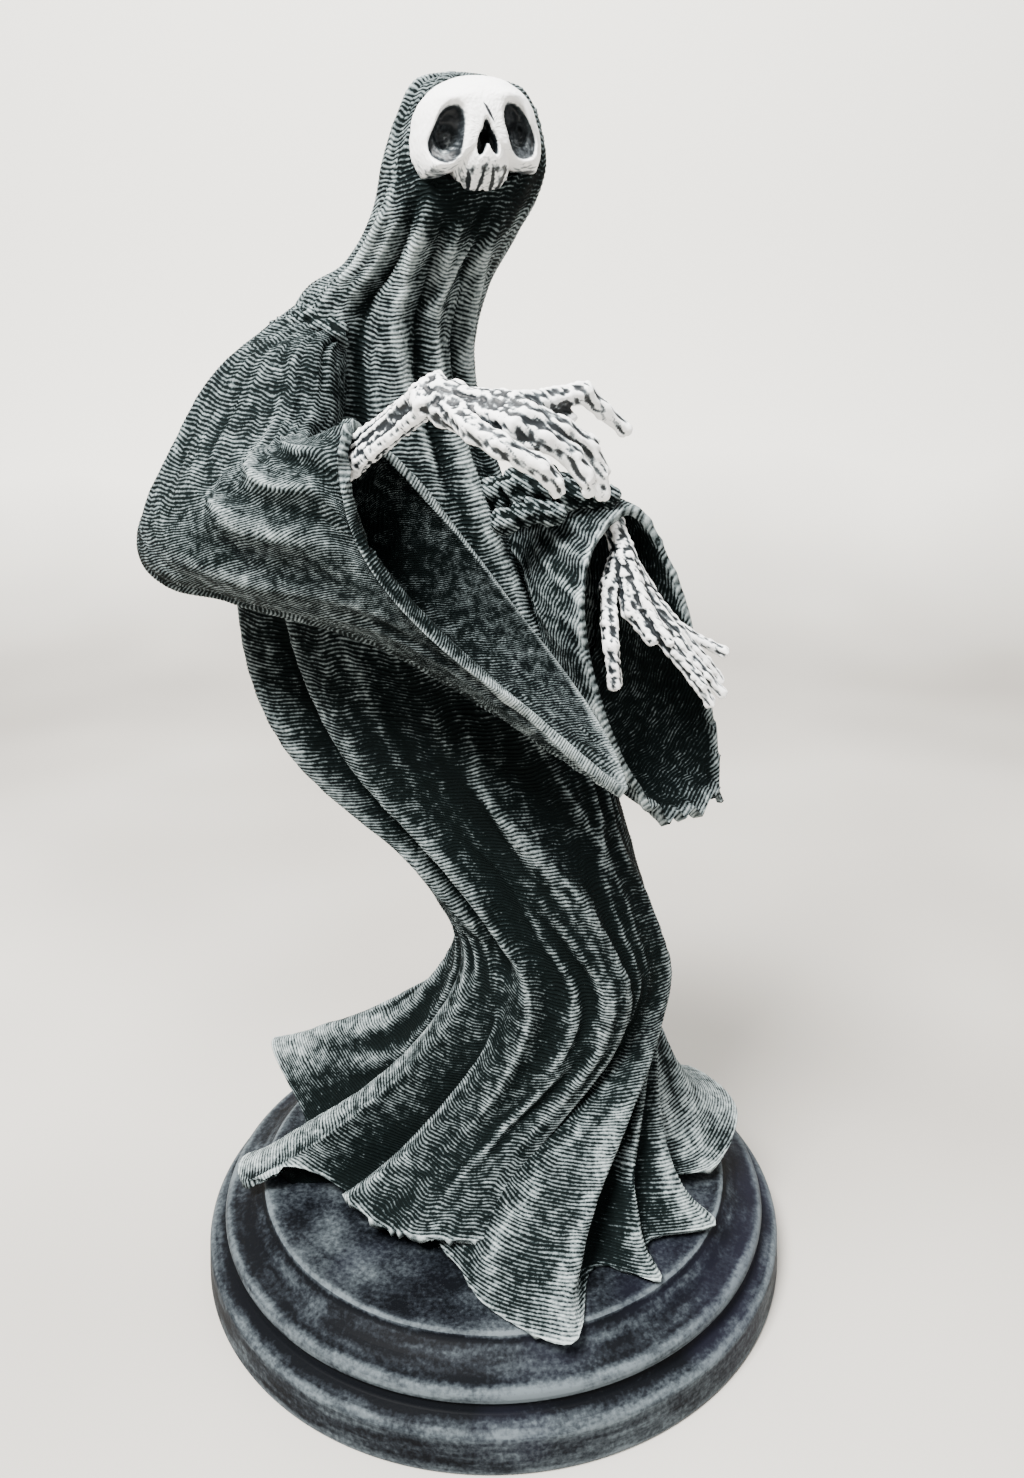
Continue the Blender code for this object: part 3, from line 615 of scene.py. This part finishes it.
def lattice_noise(u, v, seed, around=0):
    """Smooth noise from -1 to 1 on a grid of whole numbers. It repeats in u after around steps."""
    source = np.random.default_rng(seed)
    table = source.uniform(-1, 1, (NOISE_TABLE, NOISE_TABLE))
    u_low, v_low = np.floor(u).astype(int), np.floor(v).astype(int)
    u_part, v_part = u - u_low, v - v_low
    u_part = u_part * u_part * (3 - 2 * u_part)
    v_part = v_part * v_part * (3 - 2 * v_part)
    wrap = around or NOISE_TABLE
    left, right = (u_low % wrap) % NOISE_TABLE, ((u_low + 1) % wrap) % NOISE_TABLE
    low, high = v_low % NOISE_TABLE, (v_low + 1) % NOISE_TABLE
    near = table[left, low] * (1 - u_part) + table[right, low] * u_part
    far = table[left, high] * (1 - u_part) + table[right, high] * u_part
    return near * (1 - v_part) + far * v_part


def even_rows(surface, end, angles):
    """Row parameters from 0 to end, spaced evenly along the cloth at some angles, ROWS_PER_RIB to a rib."""
    fine = np.linspace(0.0, end, 1500)
    sample = surface(angles[None, :], fine[:, None])
    steps = np.linalg.norm(np.diff(sample, axis=0), axis=-1).mean(1)
    length = np.concatenate([[0], np.cumsum(steps)])
    count = int(length[-1] / RIB_PITCH * ROWS_PER_RIB)
    even = np.linspace(0, length[-1], count)
    return np.interp(even, length, fine)


def crest_of(grid, outward, reach):
    """How far each point stands out from its neighbours some columns away, less its row's average."""
    flat = (np.roll(grid, reach, 1) + np.roll(grid, -reach, 1)) / 2
    crest = ((grid - flat) * outward).sum(-1)
    return crest - crest.mean(1, keepdims=True)


def path_lengths(grid):
    """How far each point of a grid lies down the cloth, measured along its own column."""
    steps = np.linalg.norm(np.diff(grid, axis=0), axis=-1)
    return np.concatenate([np.zeros((1, grid.shape[1])), np.cumsum(steps, axis=0)])


def rib_phases(around, lengths, seed):
    """The count of ribs down the cloth, made to wander so that no rib runs straight."""
    turns = around / (2 * math.pi)
    wander = 0.6 * lattice_noise(turns * 42, lengths / 7, seed, 42)
    wander = wander + 0.42 * lattice_noise(turns * 90, lengths / 3, seed + 3, 90)
    return lengths / RIB_PITCH + wander


def rib_heights(phase, around, lengths, seed):
    """Height of the ribs from 0 to 1, weak in places as a worked surface is."""
    turns = around / (2 * math.pi)
    weak = lattice_noise(turns * WEAK_PLACES, lengths / 2.2, seed + 1, WEAK_PLACES)
    return (0.5 + 0.5 * np.cos(phase * 2 * math.pi)) * np.clip(0.65 + 0.6 * weak, 0, 1)


def wrinkles(around, lengths, seed):
    """Long wrinkles with thin crests down the cloth, about -1 to 1."""
    turns = around / (2 * math.pi)
    drift = lattice_noise(turns * 9, lengths / 34, seed + 5, 9) * 0.035
    turns = (turns + drift) % 1
    long = lattice_noise(turns * LONG_WRINKLES, lengths / 45, seed + 6, LONG_WRINKLES)
    short = lattice_noise(turns * LONG_WRINKLES * 2, lengths / 18, seed + 7, LONG_WRINKLES * 2)
    return (1 - 3.2 * np.abs(long)) * 0.75 + 0.35 * short


def cloth(grid, around, lengths, seed, wrinkle, base):
    """Adds wrinkles and ribs to a cloth grid, and gives its brush values and its count of ribs.

    base is the brush value where the cloth is neither a crest nor a hollow.
    """
    columns = grid.shape[1]
    outward = normals(grid)
    wave = wrinkles(around, lengths, seed)
    grid = grid + outward * (wave * WRINKLE_HEIGHT * wrinkle)[..., None]
    outward = normals(grid)
    near, far = max(2, round(columns / THIN_CREST)), round(columns / BROAD_CREST)
    narrow = crest_of(grid, outward, near) * (columns / THIN_SCALE / near) ** 2
    broad = crest_of(grid, outward, far) * (columns / BROAD_CREST / far) ** 2
    phase = rib_phases(around, lengths, seed + 20)
    height = rib_heights(phase, around, lengths, seed + 20)
    grid = grid + outward * (height * RIB_HEIGHT)[..., None]
    crest = np.clip((narrow - 0.25) / 0.45, 0, 1.5)
    hollow = np.clip((-narrow - 0.2) / 0.5, 0, 1.4)
    # Crests take the pale dry brush and narrow hollows miss it; the broad term is painted shade, darker in
    # wide hollows and a little paler on broad rises
    brush = base + 0.17 * (crest - 0.75 * hollow) + 0.05 * np.clip((broad + 0.8) / 1.5, -2, 0.5)
    return grid, brush, phase


def grid_piece(name, grid, brush, material, node, phase=None):
    """A piece of the scene from a grid of points in drawing units and its brush values."""
    rows, columns, _ = grid.shape
    points = grid.reshape(-1, 3) * UNIT
    points[:, 2] += LIFT
    values = brush.reshape(-1)
    row, column = np.meshgrid(np.arange(rows - 1), np.arange(columns), indexing="ij")
    beside = (column + 1) % columns
    quads = np.stack(
        [
            row * columns + column,
            (row + 1) * columns + column,
            (row + 1) * columns + beside,
            row * columns + beside,
        ],
        -1,
    ).reshape(-1, 4)
    counts = None if phase is None else phase.reshape(-1)
    mesh_piece(name, points, quads, values, material, node, counts)


def mesh_piece(name, points, faces, values, material, node, counts=None):
    """A named, smooth-shaded piece that stands for a node and carries the brush values."""
    data = bpy.data.meshes.new(name)
    sides = faces.shape[1]
    data.vertices.add(len(points))
    data.vertices.foreach_set("co", points.ravel())
    data.loops.add(faces.size)
    data.loops.foreach_set("vertex_index", faces.ravel())
    data.polygons.add(len(faces))
    data.polygons.foreach_set("loop_start", np.arange(len(faces)) * sides)
    data.update(calc_edges=True)
    data.validate()
    for label, numbers in (("brush", values), ("rib_phase", counts)):
        if numbers is not None:
            layer = data.attributes.new(label, "FLOAT", "POINT")
            layer.data.foreach_set("value", np.asarray(numbers, np.float32))
    data.shade_smooth()
    data.materials.append(material)
    piece = bpy.data.objects.new(name, data)
    bpy.context.scene.collection.objects.link(piece)
    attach(piece, "root")
    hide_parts(node)


def node_tree(name):
    """A new material, its nodes, its links and its shader."""
    material = bpy.data.materials.new(name)
    material.use_nodes = True
    tree = material.node_tree
    return material, tree.nodes, tree.links, tree.nodes["Principled BSDF"]


def noise_node(nodes, links, scale, detail, stretch=None):
    """Noise in the object's own space."""
    place = nodes.new("ShaderNodeTexCoord")
    noise = nodes.new("ShaderNodeTexNoise")
    noise.inputs["Scale"].default_value = scale
    noise.inputs["Detail"].default_value = detail
    noise.inputs["Roughness"].default_value = 0.6
    if stretch:
        mapping = nodes.new("ShaderNodeMapping")
        mapping.inputs["Scale"].default_value = stretch
        links.new(place.outputs["Object"], mapping.inputs["Vector"])
        links.new(mapping.outputs["Vector"], noise.inputs["Vector"])
    else:
        links.new(place.outputs["Object"], noise.inputs["Vector"])
    return noise


def maths(nodes, links, operation, first, second, clamp=False):
    """One sum on two sockets or numbers."""
    step = nodes.new("ShaderNodeMath")
    step.operation = operation
    step.use_clamp = clamp
    for place, value in enumerate((first, second)):
        if isinstance(value, (int, float)):
            step.inputs[place].default_value = value
        else:
            links.new(value, step.inputs[place])
    return step.outputs[0]


def ramp(nodes, links, value, stops):
    """A colour ramp through stops of position and colour."""
    colours = nodes.new("ShaderNodeValToRGB")
    line = colours.color_ramp
    while len(line.elements) < len(stops):
        line.elements.new(0.5)
    for element, (position, colour) in zip(line.elements, stops):
        element.position = position
        element.color = (*colour, 1)
    links.new(value, colours.inputs["Fac"])
    return colours.outputs["Color"]


def weighed(nodes, links, terms, start):
    """The sum of start and of each output, less one half, times its weight."""
    total = start
    for output, weight in terms:
        part = maths(nodes, links, "SUBTRACT", output, 0.5)
        part = maths(nodes, links, "MULTIPLY", part, weight)
        total = maths(nodes, links, "ADD", total, part)
    return maths(nodes, links, "ADD", total, 0.0, clamp=True)


def brush_value(nodes, name="brush"):
    """A vertex value of the piece."""
    value = nodes.new("ShaderNodeAttribute")
    value.attribute_name = name
    return value.outputs["Fac"]


def finish_of(shader, roughness, shine):
    """Sets how matt a shader is and how much it mirrors."""
    shader.inputs["Roughness"].default_value = roughness
    shader.inputs["Specular IOR Level"].default_value = shine


def bumped(nodes, links, shader, height, strength, distance):
    """Gives the shader a fine relief."""
    relief = nodes.new("ShaderNodeBump")
    relief.inputs["Strength"].default_value = strength
    relief.inputs["Distance"].default_value = distance
    links.new(height, relief.inputs["Height"])
    links.new(relief.outputs["Normal"], shader.inputs["Normal"])


def cloth_material():
    """Pale grey dragged over black-green cloth, so that it catches the ribs and the crests of the folds."""
    material, nodes, links, shader = node_tree("robe_paint")
    turned = maths(nodes, links, "MULTIPLY", brush_value(nodes, "rib_phase"), 2 * math.pi)
    wave = maths(nodes, links, "COSINE", turned, 0.0)
    rib = maths(nodes, links, "MULTIPLY_ADD", wave, 0.5)
    rib.node.inputs[2].default_value = 0.5
    flecks = noise_node(nodes, links, 1500, 3).outputs["Fac"]
    dashes = noise_node(nodes, links, 420, 3).outputs["Fac"]
    patches = noise_node(nodes, links, 75, 4).outputs["Fac"]
    terms = ((rib, 0.38), (flecks, 0.6), (dashes, 0.9), (patches, 0.45))
    total = weighed(nodes, links, terms, brush_value(nodes))
    stops = (
        (0.28, (0.0015, 0.0030, 0.0030)),
        (0.45, (0.005, 0.0085, 0.009)),
        (0.56, (0.055, 0.068, 0.070)),
        (0.72, (0.125, 0.150, 0.154)),
        (1.0, (0.34, 0.39, 0.39)),
    )
    links.new(ramp(nodes, links, total, stops), shader.inputs["Base Color"])
    finish_of(shader, 0.8, 0.04)
    height = maths(nodes, links, "ADD", rib, maths(nodes, links, "MULTIPLY", dashes, 1.2))
    bumped(nodes, links, shader, height, 0.7, 0.0002)
    return material


def bone_material():
    """Chalk-white bone with a dark wash left in its hollows."""
    material, nodes, links, shader = node_tree("bone_paint")
    flecks = noise_node(nodes, links, 1300, 3).outputs["Fac"]
    blots = noise_node(nodes, links, 330, 4).outputs["Fac"]
    total = weighed(nodes, links, ((flecks, 0.6), (blots, 0.8)), brush_value(nodes))
    stops = (
        (0.02, (0.006, 0.008, 0.010)),
        (0.28, (0.060, 0.070, 0.077)),
        (0.47, (0.36, 0.39, 0.40)),
        (0.64, (0.94, 0.94, 0.93)),
    )
    links.new(ramp(nodes, links, total, stops), shader.inputs["Base Color"])
    finish_of(shader, 0.5, 0.3)
    bumped(nodes, links, shader, blots, 0.6, 0.0003)
    return material


def plinth_material():
    """Blue-grey paint dragged round the plinth over a near-black base, with worn rims and faint violet."""
    material, nodes, links, shader = node_tree("plinth_wash")
    broad = noise_node(nodes, links, 38, 5).outputs["Fac"]
    fine = noise_node(nodes, links, 900, 4).outputs["Fac"]
    drag = noise_node(nodes, links, 70, 6, stretch=(1, 1, 8)).outputs["Fac"]
    terms = ((broad, 1.1), (fine, 0.8), (drag, 0.9))
    total = weighed(nodes, links, terms, brush_value(nodes))
    stops = (
        (0.24, (0.0015, 0.0020, 0.003)),
        (0.42, (0.008, 0.010, 0.013)),
        (0.62, (0.028, 0.034, 0.039)),
        (0.95, (0.085, 0.102, 0.112)),
    )
    paint = ramp(nodes, links, total, stops)
    tint = noise_node(nodes, links, 22, 2).outputs["Fac"]
    violet = nodes.new("ShaderNodeMix")
    violet.data_type = "RGBA"
    amount = maths(nodes, links, "SUBTRACT", tint, 0.56)
    links.new(maths(nodes, links, "MULTIPLY", amount, 1.6, clamp=True), violet.inputs["Factor"])
    links.new(paint, violet.inputs["A"])
    violet.inputs["B"].default_value = (0.016, 0.016, 0.032, 1)
    links.new(violet.outputs["Result"], shader.inputs["Base Color"])
    finish_of(shader, 0.6, 0.05)
    bumped(nodes, links, shader, fine, 0.5, 0.00015)
    return material


def make_robe(paint):
    """The robe in three pieces from hood to hem, with the hem turned under."""
    front = np.radians(np.linspace(190, 350, 12))
    all_down = even_rows(robe, float(HEM), front)
    for name, start, end, columns in ROBE_PIECES:
        around = round_angles(columns)
        first, last = np.searchsorted(all_down, (start, end))
        span = slice(first, last + 1)
        whole = robe(around[None, :], all_down[:, None])
        wrinkle = np.interp(all_down[span], *zip(*ROBE_WRINKLES))[:, None]
        # Paleness of the paint down the robe, with painted light on the chest and painted shade at the hips
        base = np.interp(all_down[span], *zip(*ROBE_PALENESS_AND_PAINTED_LIGHT))[:, None]
        lengths = path_lengths(whole)[span]
        grid, brush, phase = cloth(whole[span], around[None, :], lengths, 3, wrinkle, base)
        if name == "robe_upper":
            grid, brush = press_behind_skull(grid, brush)
        if name == "robe_skirt":
            grid, brush, phase = turn_under(grid, brush, phase)
        grid_piece(name, grid, brush, paint, "robed_figure", phase)


def press_behind_skull(grid, brush):
    """Presses the hood in behind the face, out of the sockets, and paints shade on it under the jaw."""
    right, ahead = skull_axes()
    offset = grid - SKULL_CENTRE
    across, depth, up = offset @ right, offset @ ahead, offset[..., 2]
    reach = np.hypot(across / 10.5, (up - 1.5) / 9.0)
    press = np.clip((1.15 - reach) / 0.3, 0, 1) * (depth > -2)
    gap = np.linalg.norm(offset, axis=-1)
    # Painted shade under the jaw: close to the skull, below its middle and in front of it
    shade = np.clip((23 - gap) / 8, 0, 1) * np.clip(-up / 6, 0, 1) * (depth > 0)
    return grid - (HOOD_PRESS * press)[..., None] * ahead, brush - JAW_SHADE * shade


def turn_under(grid, brush, phase):
    """The hem's pale rolled edge, with its inner face and the foot beneath painted dark as shade."""
    outward = normals(grid)
    edge_rows, inner_rows = 7, 40
    edge = np.clip((np.arange(len(grid)) - len(grid) + edge_rows) / edge_rows, 0, 1)[:, None]
    brush = brush + edge * 0.35
    inner = (grid - outward * WALL)[-inner_rows:][::-1]
    inner[..., 2] = np.minimum(inner[..., 2], grid[-inner_rows:][::-1][..., 2] - 0.3 * WALL)
    inner[..., 2] = np.maximum(inner[..., 2], 0.0)
    foot = inner[-1:].copy()
    foot[..., 2] = 0.0
    # Painted shade on the inner face and foot, pale only in its first rows at the rolled edge
    shade = np.full((inner_rows + 1, grid.shape[1]), 0.12)
    shade[:3] = 0.6
    counts = np.concatenate([phase, phase[-inner_rows:][::-1], phase[-1:]])
    return np.concatenate([grid, inner, foot]), np.concatenate([brush, shade]), counts


def make_sleeve(name, rows, front, columns, depth, paint, seed, shaded_lining_brush, **shape):
    """A ribbed sleeve with a pale edge, and its lining from depth to the mouth, painted darker as the shade
    inside the sleeve.
    """
    mouth = len(rows) - 1
    around = round_angles(columns)

    def surface(angle, along):
        return sleeve(rows, front, angle, along)

    along = even_rows(surface, float(mouth), np.radians(np.linspace(200, 340, 9)))
    outside = sleeve_outside(rows, front, around[None, :], along[:, None], **shape)
    lengths = path_lengths(outside)
    dressed, brush, phase = cloth(outside, around[None, :], lengths, seed, 1.0, SLEEVE_PALENESS)
    edge = np.clip((np.arange(len(along)) - len(along) + 12) / 8, 0, 1)[:, None]
    brush = brush + edge * 0.3
    hollow = along >= depth
    lining = (outside - normals(outside) * WALL)[hollow][::-1]
    inner_phase = phase[hollow][::-1]
    heights = rib_heights(inner_phase, around[None, :], lengths[hollow][::-1], seed + 9)
    lining = lining + normals(lining) * (heights * RIB_HEIGHT)[..., None]
    # Painted shade inside the sleeve: the lining kept dark, paler towards +x, then pale again at the
    # mouth's edge
    shade = shaded_lining_brush + 0.16 * np.clip(lining[..., 0] / 40 + 0.2, -1, 1)
    shade = shade + 0.35 * np.clip(1.2 - np.arange(len(lining)) / 8, 0, 1)[:, None]
    grid = np.concatenate([dressed, lining])
    brush = np.concatenate([brush, shade])
    phase = np.concatenate([phase, inner_phase])
    grid_piece(name, grid, brush, paint, "robed_figure", phase)


def make_skull(paint):
    """The skull's face, with paint worn out of its hollows and painted shade towards its bottom."""
    grid, relief = skull_surface(columns=220, rows=120)
    outward = normals(grid)
    around = round_angles(grid.shape[1])[None, :]
    rows = np.arange(len(grid))[:, None] * 0.25
    grain = lattice_noise(around / (2 * math.pi) * 120, rows / 0.7, 41, 120)
    grid = grid + outward * (SKULL_ROUGHNESS * grain)[..., None]
    # Painted shade: the face darker towards its bottom, below the skull's middle; relief holds the wash and
    # the shade under the cheekbones
    low = np.clip((SKULL_CENTRE[2] + 2 - grid[..., 2]) / 9, 0, 1)
    brush = 1.02 + (0.12 + 0.2 * low) * grain - 0.34 * relief - 0.34 * low
    grid_piece("skull_face", grid, brush, paint, "robed_figure")


def fused(name, chains, grain, columns=24, rows=15):
    """The mesh of chains of fluted bars, fused into one knobbly form."""
    mesh = bmesh.new()
    turns = np.linspace(0, BONE_FLUTES * 2 * math.pi, columns, endpoint=False)
    flutes = 1 + FLUTE_DEPTH * np.cos(turns)[None, :, None]
    for grid in bone_grids(chains, columns, rows):
        middle = grid.mean(1, keepdims=True)
        add_grid(mesh, middle + (grid - middle) * flutes)
    bmesh.ops.scale(mesh, vec=(UNIT, UNIT, UNIT), verts=mesh.verts)
    bmesh.ops.translate(mesh, vec=(0, 0, LIFT), verts=mesh.verts)
    bmesh.ops.recalc_face_normals(mesh, faces=mesh.faces)
    data = bpy.data.meshes.new(name)
    mesh.to_mesh(data)
    mesh.free()
    rough = bpy.data.objects.new(name + "_rough", data)
    bpy.context.scene.collection.objects.link(rough)
    remesh = rough.modifiers.new("fuse", "REMESH")
    remesh.mode = "VOXEL"
    remesh.voxel_size = grain
    soften = rough.modifiers.new("soften", "SMOOTH")
    soften.factor = 0.6
    soften.iterations = 3
    graph = bpy.context.evaluated_depsgraph_get()
    final = bpy.data.meshes.new_from_object(rough.evaluated_get(graph))
    bpy.data.objects.remove(rough, do_unlink=True)
    bpy.data.meshes.remove(data)
    return final


def mesh_values(items, label, kind, width):
    """One property of all items of a mesh, as an array with width columns."""
    values = np.empty(len(items) * width, kind)
    items.foreach_get(label, values)
    return values.reshape(-1, width)


def averaged(points, edges, rounds):
    """Points drawn to the middle of their neighbours a number of times."""
    ties = np.zeros(len(points))
    np.add.at(ties, edges.ravel(), 1)
    for _ in range(rounds):
        total = np.zeros_like(points)
        np.add.at(total, edges[:, 0], points[edges[:, 1]])
        np.add.at(total, edges[:, 1], points[edges[:, 0]])
        points = total / ties[:, None]
    return points


def carve(final, seed, relief, grain, contrast, paleness):
    """Roughens a fused form and works out its brush values from how hollow each point is.

    Gives the form's points, its faces and their brush values.
    """
    points = mesh_values(final.vertices, "co", float, 3)
    outward = mesh_values(final.vertices, "normal", float, 3)
    edges = mesh_values(final.edges, "vertices", int, 2)
    x, y, z = (points / UNIT).T
    bumps = lattice_noise(x / grain + z / grain * 0.6, z / grain + y / grain * 0.7, seed)
    bumps = bumps + 0.5 * lattice_noise(y / grain * 2.3, (x + z) / grain * 2.1, seed + 1)
    points = points + outward * ((0.2 + bumps) * relief * UNIT)[:, None]
    close = averaged(points, edges, 6)
    wide = averaged(close, edges, 18)
    small = ((points - close) * outward).sum(-1) / UNIT
    large = ((points - wide) * outward).sum(-1) / UNIT
    proud = 0.55 * np.clip((small - 0.02) / 0.08, -1.5, 1)
    proud = proud + 0.35 * np.clip((large - 0.40) / 0.35, -1.5, 1)
    brush = paleness + proud * contrast
    quads = mesh_values(final.loops, "vertex_index", int, 1).reshape(-1, 4)
    return points, quads, brush


def make_hands(paint):
    """Both bony hands with their tendons and the forearm that comes out of each sleeve."""
    for name, chains, seed in (
        ("right_hand", RIGHT_HAND + RIGHT_TENDONS, 51),
        ("left_hand", LEFT_HAND + LEFT_TENDONS, 61),
    ):
        form = fused(name, chains, BONE_GRAIN)
        points, quads, brush = carve(form, seed, relief=0.24, grain=1.0, contrast=0.62, paleness=0.50)
        mesh_piece(name, points, quads, brush, paint, "robed_figure")


def make_gathers(paint):
    """The crumpled cloth on the shoulder and at the head of the left sleeve."""
    form = fused("gathers", GATHERS + BACK_GATHERS, CLOTH_GRAIN)
    points, quads, brush = carve(form, 71, relief=0.75, grain=1.6, contrast=0.3, paleness=0.36)
    counts = (points[:, 2] + 0.6 * points[:, 0]) / UNIT / RIB_PITCH
    mesh_piece("gathered_cloth", points, quads, brush, paint, "robed_figure", counts)


def make_plinth():
    """The turned plinth at full smoothness, with scratches and dents in its paint."""
    profile = np.array(plinth_profile())
    steps = np.linalg.norm(np.diff(profile, axis=0), axis=1)
    length = np.concatenate([[0], np.cumsum(steps)])
    columns, spacing = 220, 0.001
    at = np.unique(np.concatenate([np.arange(0, length[-1], spacing), length]))
    radius = np.interp(at, length, profile[:, 0])
    height = np.interp(at, length, profile[:, 1])
    around = round_angles(columns)
    points = np.stack(
        [
            radius[:, None] * np.cos(around),
            radius[:, None] * np.sin(around),
            height[:, None] * np.ones(columns),
        ],
        -1,
    )
    turn_in = np.gradient(np.arctan2(np.gradient(height), np.gradient(radius)))
    rim = np.convolve(np.clip(-turn_in, -0.3, 0.3), np.ones(3) / 3, "same")
    brush = np.tile((0.40 + 1.6 * rim)[:, None], (1, columns))
    turns = around[None, :] / (2 * math.pi)
    streaks = lattice_noise(turns * 70, at[:, None] / 0.0011, 81, 70)
    streaks = streaks + 0.7 * lattice_noise(turns * 23, at[:, None] / 0.0022, 82, 23)
    foot = np.clip((FOOT_BAND_HEIGHT - height) / 0.002, 0, 1)[:, None]
    brush = brush + 0.06 * foot + 0.08 * streaks
    drawn = points / UNIT
    drawn[..., 2] = (points[..., 2] - LIFT) / UNIT
    grid_piece("turned_plinth", drawn[::-1], brush[::-1], plinth_material(), "plinth")


def make_stage():
    """A floor that curves up into a backdrop, one sheet painted darker on the flat and paler as it rises,
    as painted light and shade.
    """
    start, bend, half_width = 0.55, 0.35, 2.2
    profile = [(-1.5, 0.0), (start, 0.0)]
    for a in np.radians(range(9, 91, 9)):
        profile.append((start + bend * math.sin(a), bend - bend * math.cos(a)))
    profile.append((start + bend, 2.2))
    mesh = bmesh.new()
    left = [mesh.verts.new((-half_width, y, z)) for y, z in profile]
    right = [mesh.verts.new((half_width, y, z)) for y, z in profile]
    for near in range(len(profile) - 1):
        mesh.faces.new((left[near], right[near], right[near + 1], left[near + 1]))
    data = bpy.data.meshes.new("floor")
    mesh.to_mesh(data)
    mesh.free()
    data.shade_smooth()
    material, nodes, links, shader = node_tree("pale_floor")
    place = nodes.new("ShaderNodeTexCoord")
    parts = nodes.new("ShaderNodeSeparateXYZ")
    links.new(place.outputs["Object"], parts.inputs["Vector"])
    cloudy = noise_node(nodes, links, 3.0, 2).outputs["Fac"]
    # Painted light and shade on one sheet: dark on the flat floor, pale where it rises into the backdrop
    rise = maths(nodes, links, "MULTIPLY", parts.outputs["Z"], 1.6, clamp=True)
    rise = maths(nodes, links, "ADD", rise, maths(nodes, links, "MULTIPLY", cloudy, 0.2))
    stops = ((0.05, (0.29, 0.270, 0.245)), (0.33, (0.93, 0.91, 0.85)), (1.0, (0.98, 0.965, 0.905)))
    links.new(ramp(nodes, links, rise, stops), shader.inputs["Base Color"])
    shader.inputs["Roughness"].default_value = 0.9
    data.materials.append(material)
    floor = bpy.data.objects.new("floor", data)
    bpy.context.scene.collection.objects.link(floor)


def aim(thing, place, target):
    """Puts a light or camera at a place, looking at a target."""
    thing.location = place
    thing.rotation_euler = (Vector(target) - Vector(place)).to_track_quat("-Z", "Y").to_euler()


def make_lights():
    """Soft studio light, mostly from above and in front."""
    middle = (0, 0, 0.16)
    for name, place, size, power, colour in (
        ("key", (-0.35, -0.50, 1.05), 0.4, 66.0, (1.0, 0.985, 0.96)),
        ("fill", (0.85, -0.65, 0.55), 0.8, 3.0, (0.96, 0.98, 1.0)),
        ("top", (0.15, 0.25, 1.25), 0.7, 16.0, (1.0, 1.0, 1.0)),
    ):
        lamp = bpy.data.lights.new(name, "AREA")
        lamp.size = size
        lamp.energy = power
        lamp.color = colour
        light = bpy.data.objects.new(name, lamp)
        bpy.context.scene.collection.objects.link(light)
        aim(light, place, middle)
    world = bpy.data.worlds.new("soft_room")
    bpy.context.scene.world = world
    world.use_nodes = True
    sky = world.node_tree.nodes["Background"]
    sky.inputs["Color"].default_value = (0.98, 0.965, 0.94, 1)
    sky.inputs["Strength"].default_value = 0.72


def make_camera():
    """The photograph's viewpoint: close, a little above the shoulders, looking down."""
    lens = bpy.data.cameras.new("camera")
    lens.lens = CAMERA_LENS
    lens.sensor_width = 36.0
    camera = bpy.data.objects.new("camera", lens)
    camera.location = CAMERA_PLACE
    camera.rotation_euler = (math.radians(90 - CAMERA_DOWN), 0, 0)
    lens.clip_start = 0.01
    bpy.context.scene.collection.objects.link(camera)
    bpy.context.scene.camera = camera


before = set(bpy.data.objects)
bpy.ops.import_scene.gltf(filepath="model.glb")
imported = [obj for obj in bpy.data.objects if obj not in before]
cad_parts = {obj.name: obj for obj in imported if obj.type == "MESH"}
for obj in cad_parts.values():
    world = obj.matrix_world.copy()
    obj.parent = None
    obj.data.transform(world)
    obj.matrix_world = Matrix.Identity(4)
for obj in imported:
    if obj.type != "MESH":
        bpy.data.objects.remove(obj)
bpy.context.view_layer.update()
robe_paint = cloth_material()
bone_paint = bone_material()
make_camera()
make_lights()
make_stage()
make_plinth()
make_robe(robe_paint)
make_sleeve(
    "right_sleeve",
    RIGHT_SLEEVE,
    RIGHT_FRONT,
    columns=122,
    depth=3.4,
    paint=robe_paint,
    seed=11,
    shaded_lining_brush=0.34,
    folds=RIGHT_FOLDS,
    lip=RIGHT_LIP,
)
make_sleeve(
    "left_sleeve",
    LEFT_SLEEVE,
    LEFT_FRONT,
    columns=180,
    depth=1.0,
    paint=robe_paint,
    seed=17,
    shaded_lining_brush=0.10,
    folds=LEFT_FOLDS,
    tatters=LEFT_TATTERS,
)
make_gathers(robe_paint)
make_skull(bone_paint)
make_hands(bone_paint)
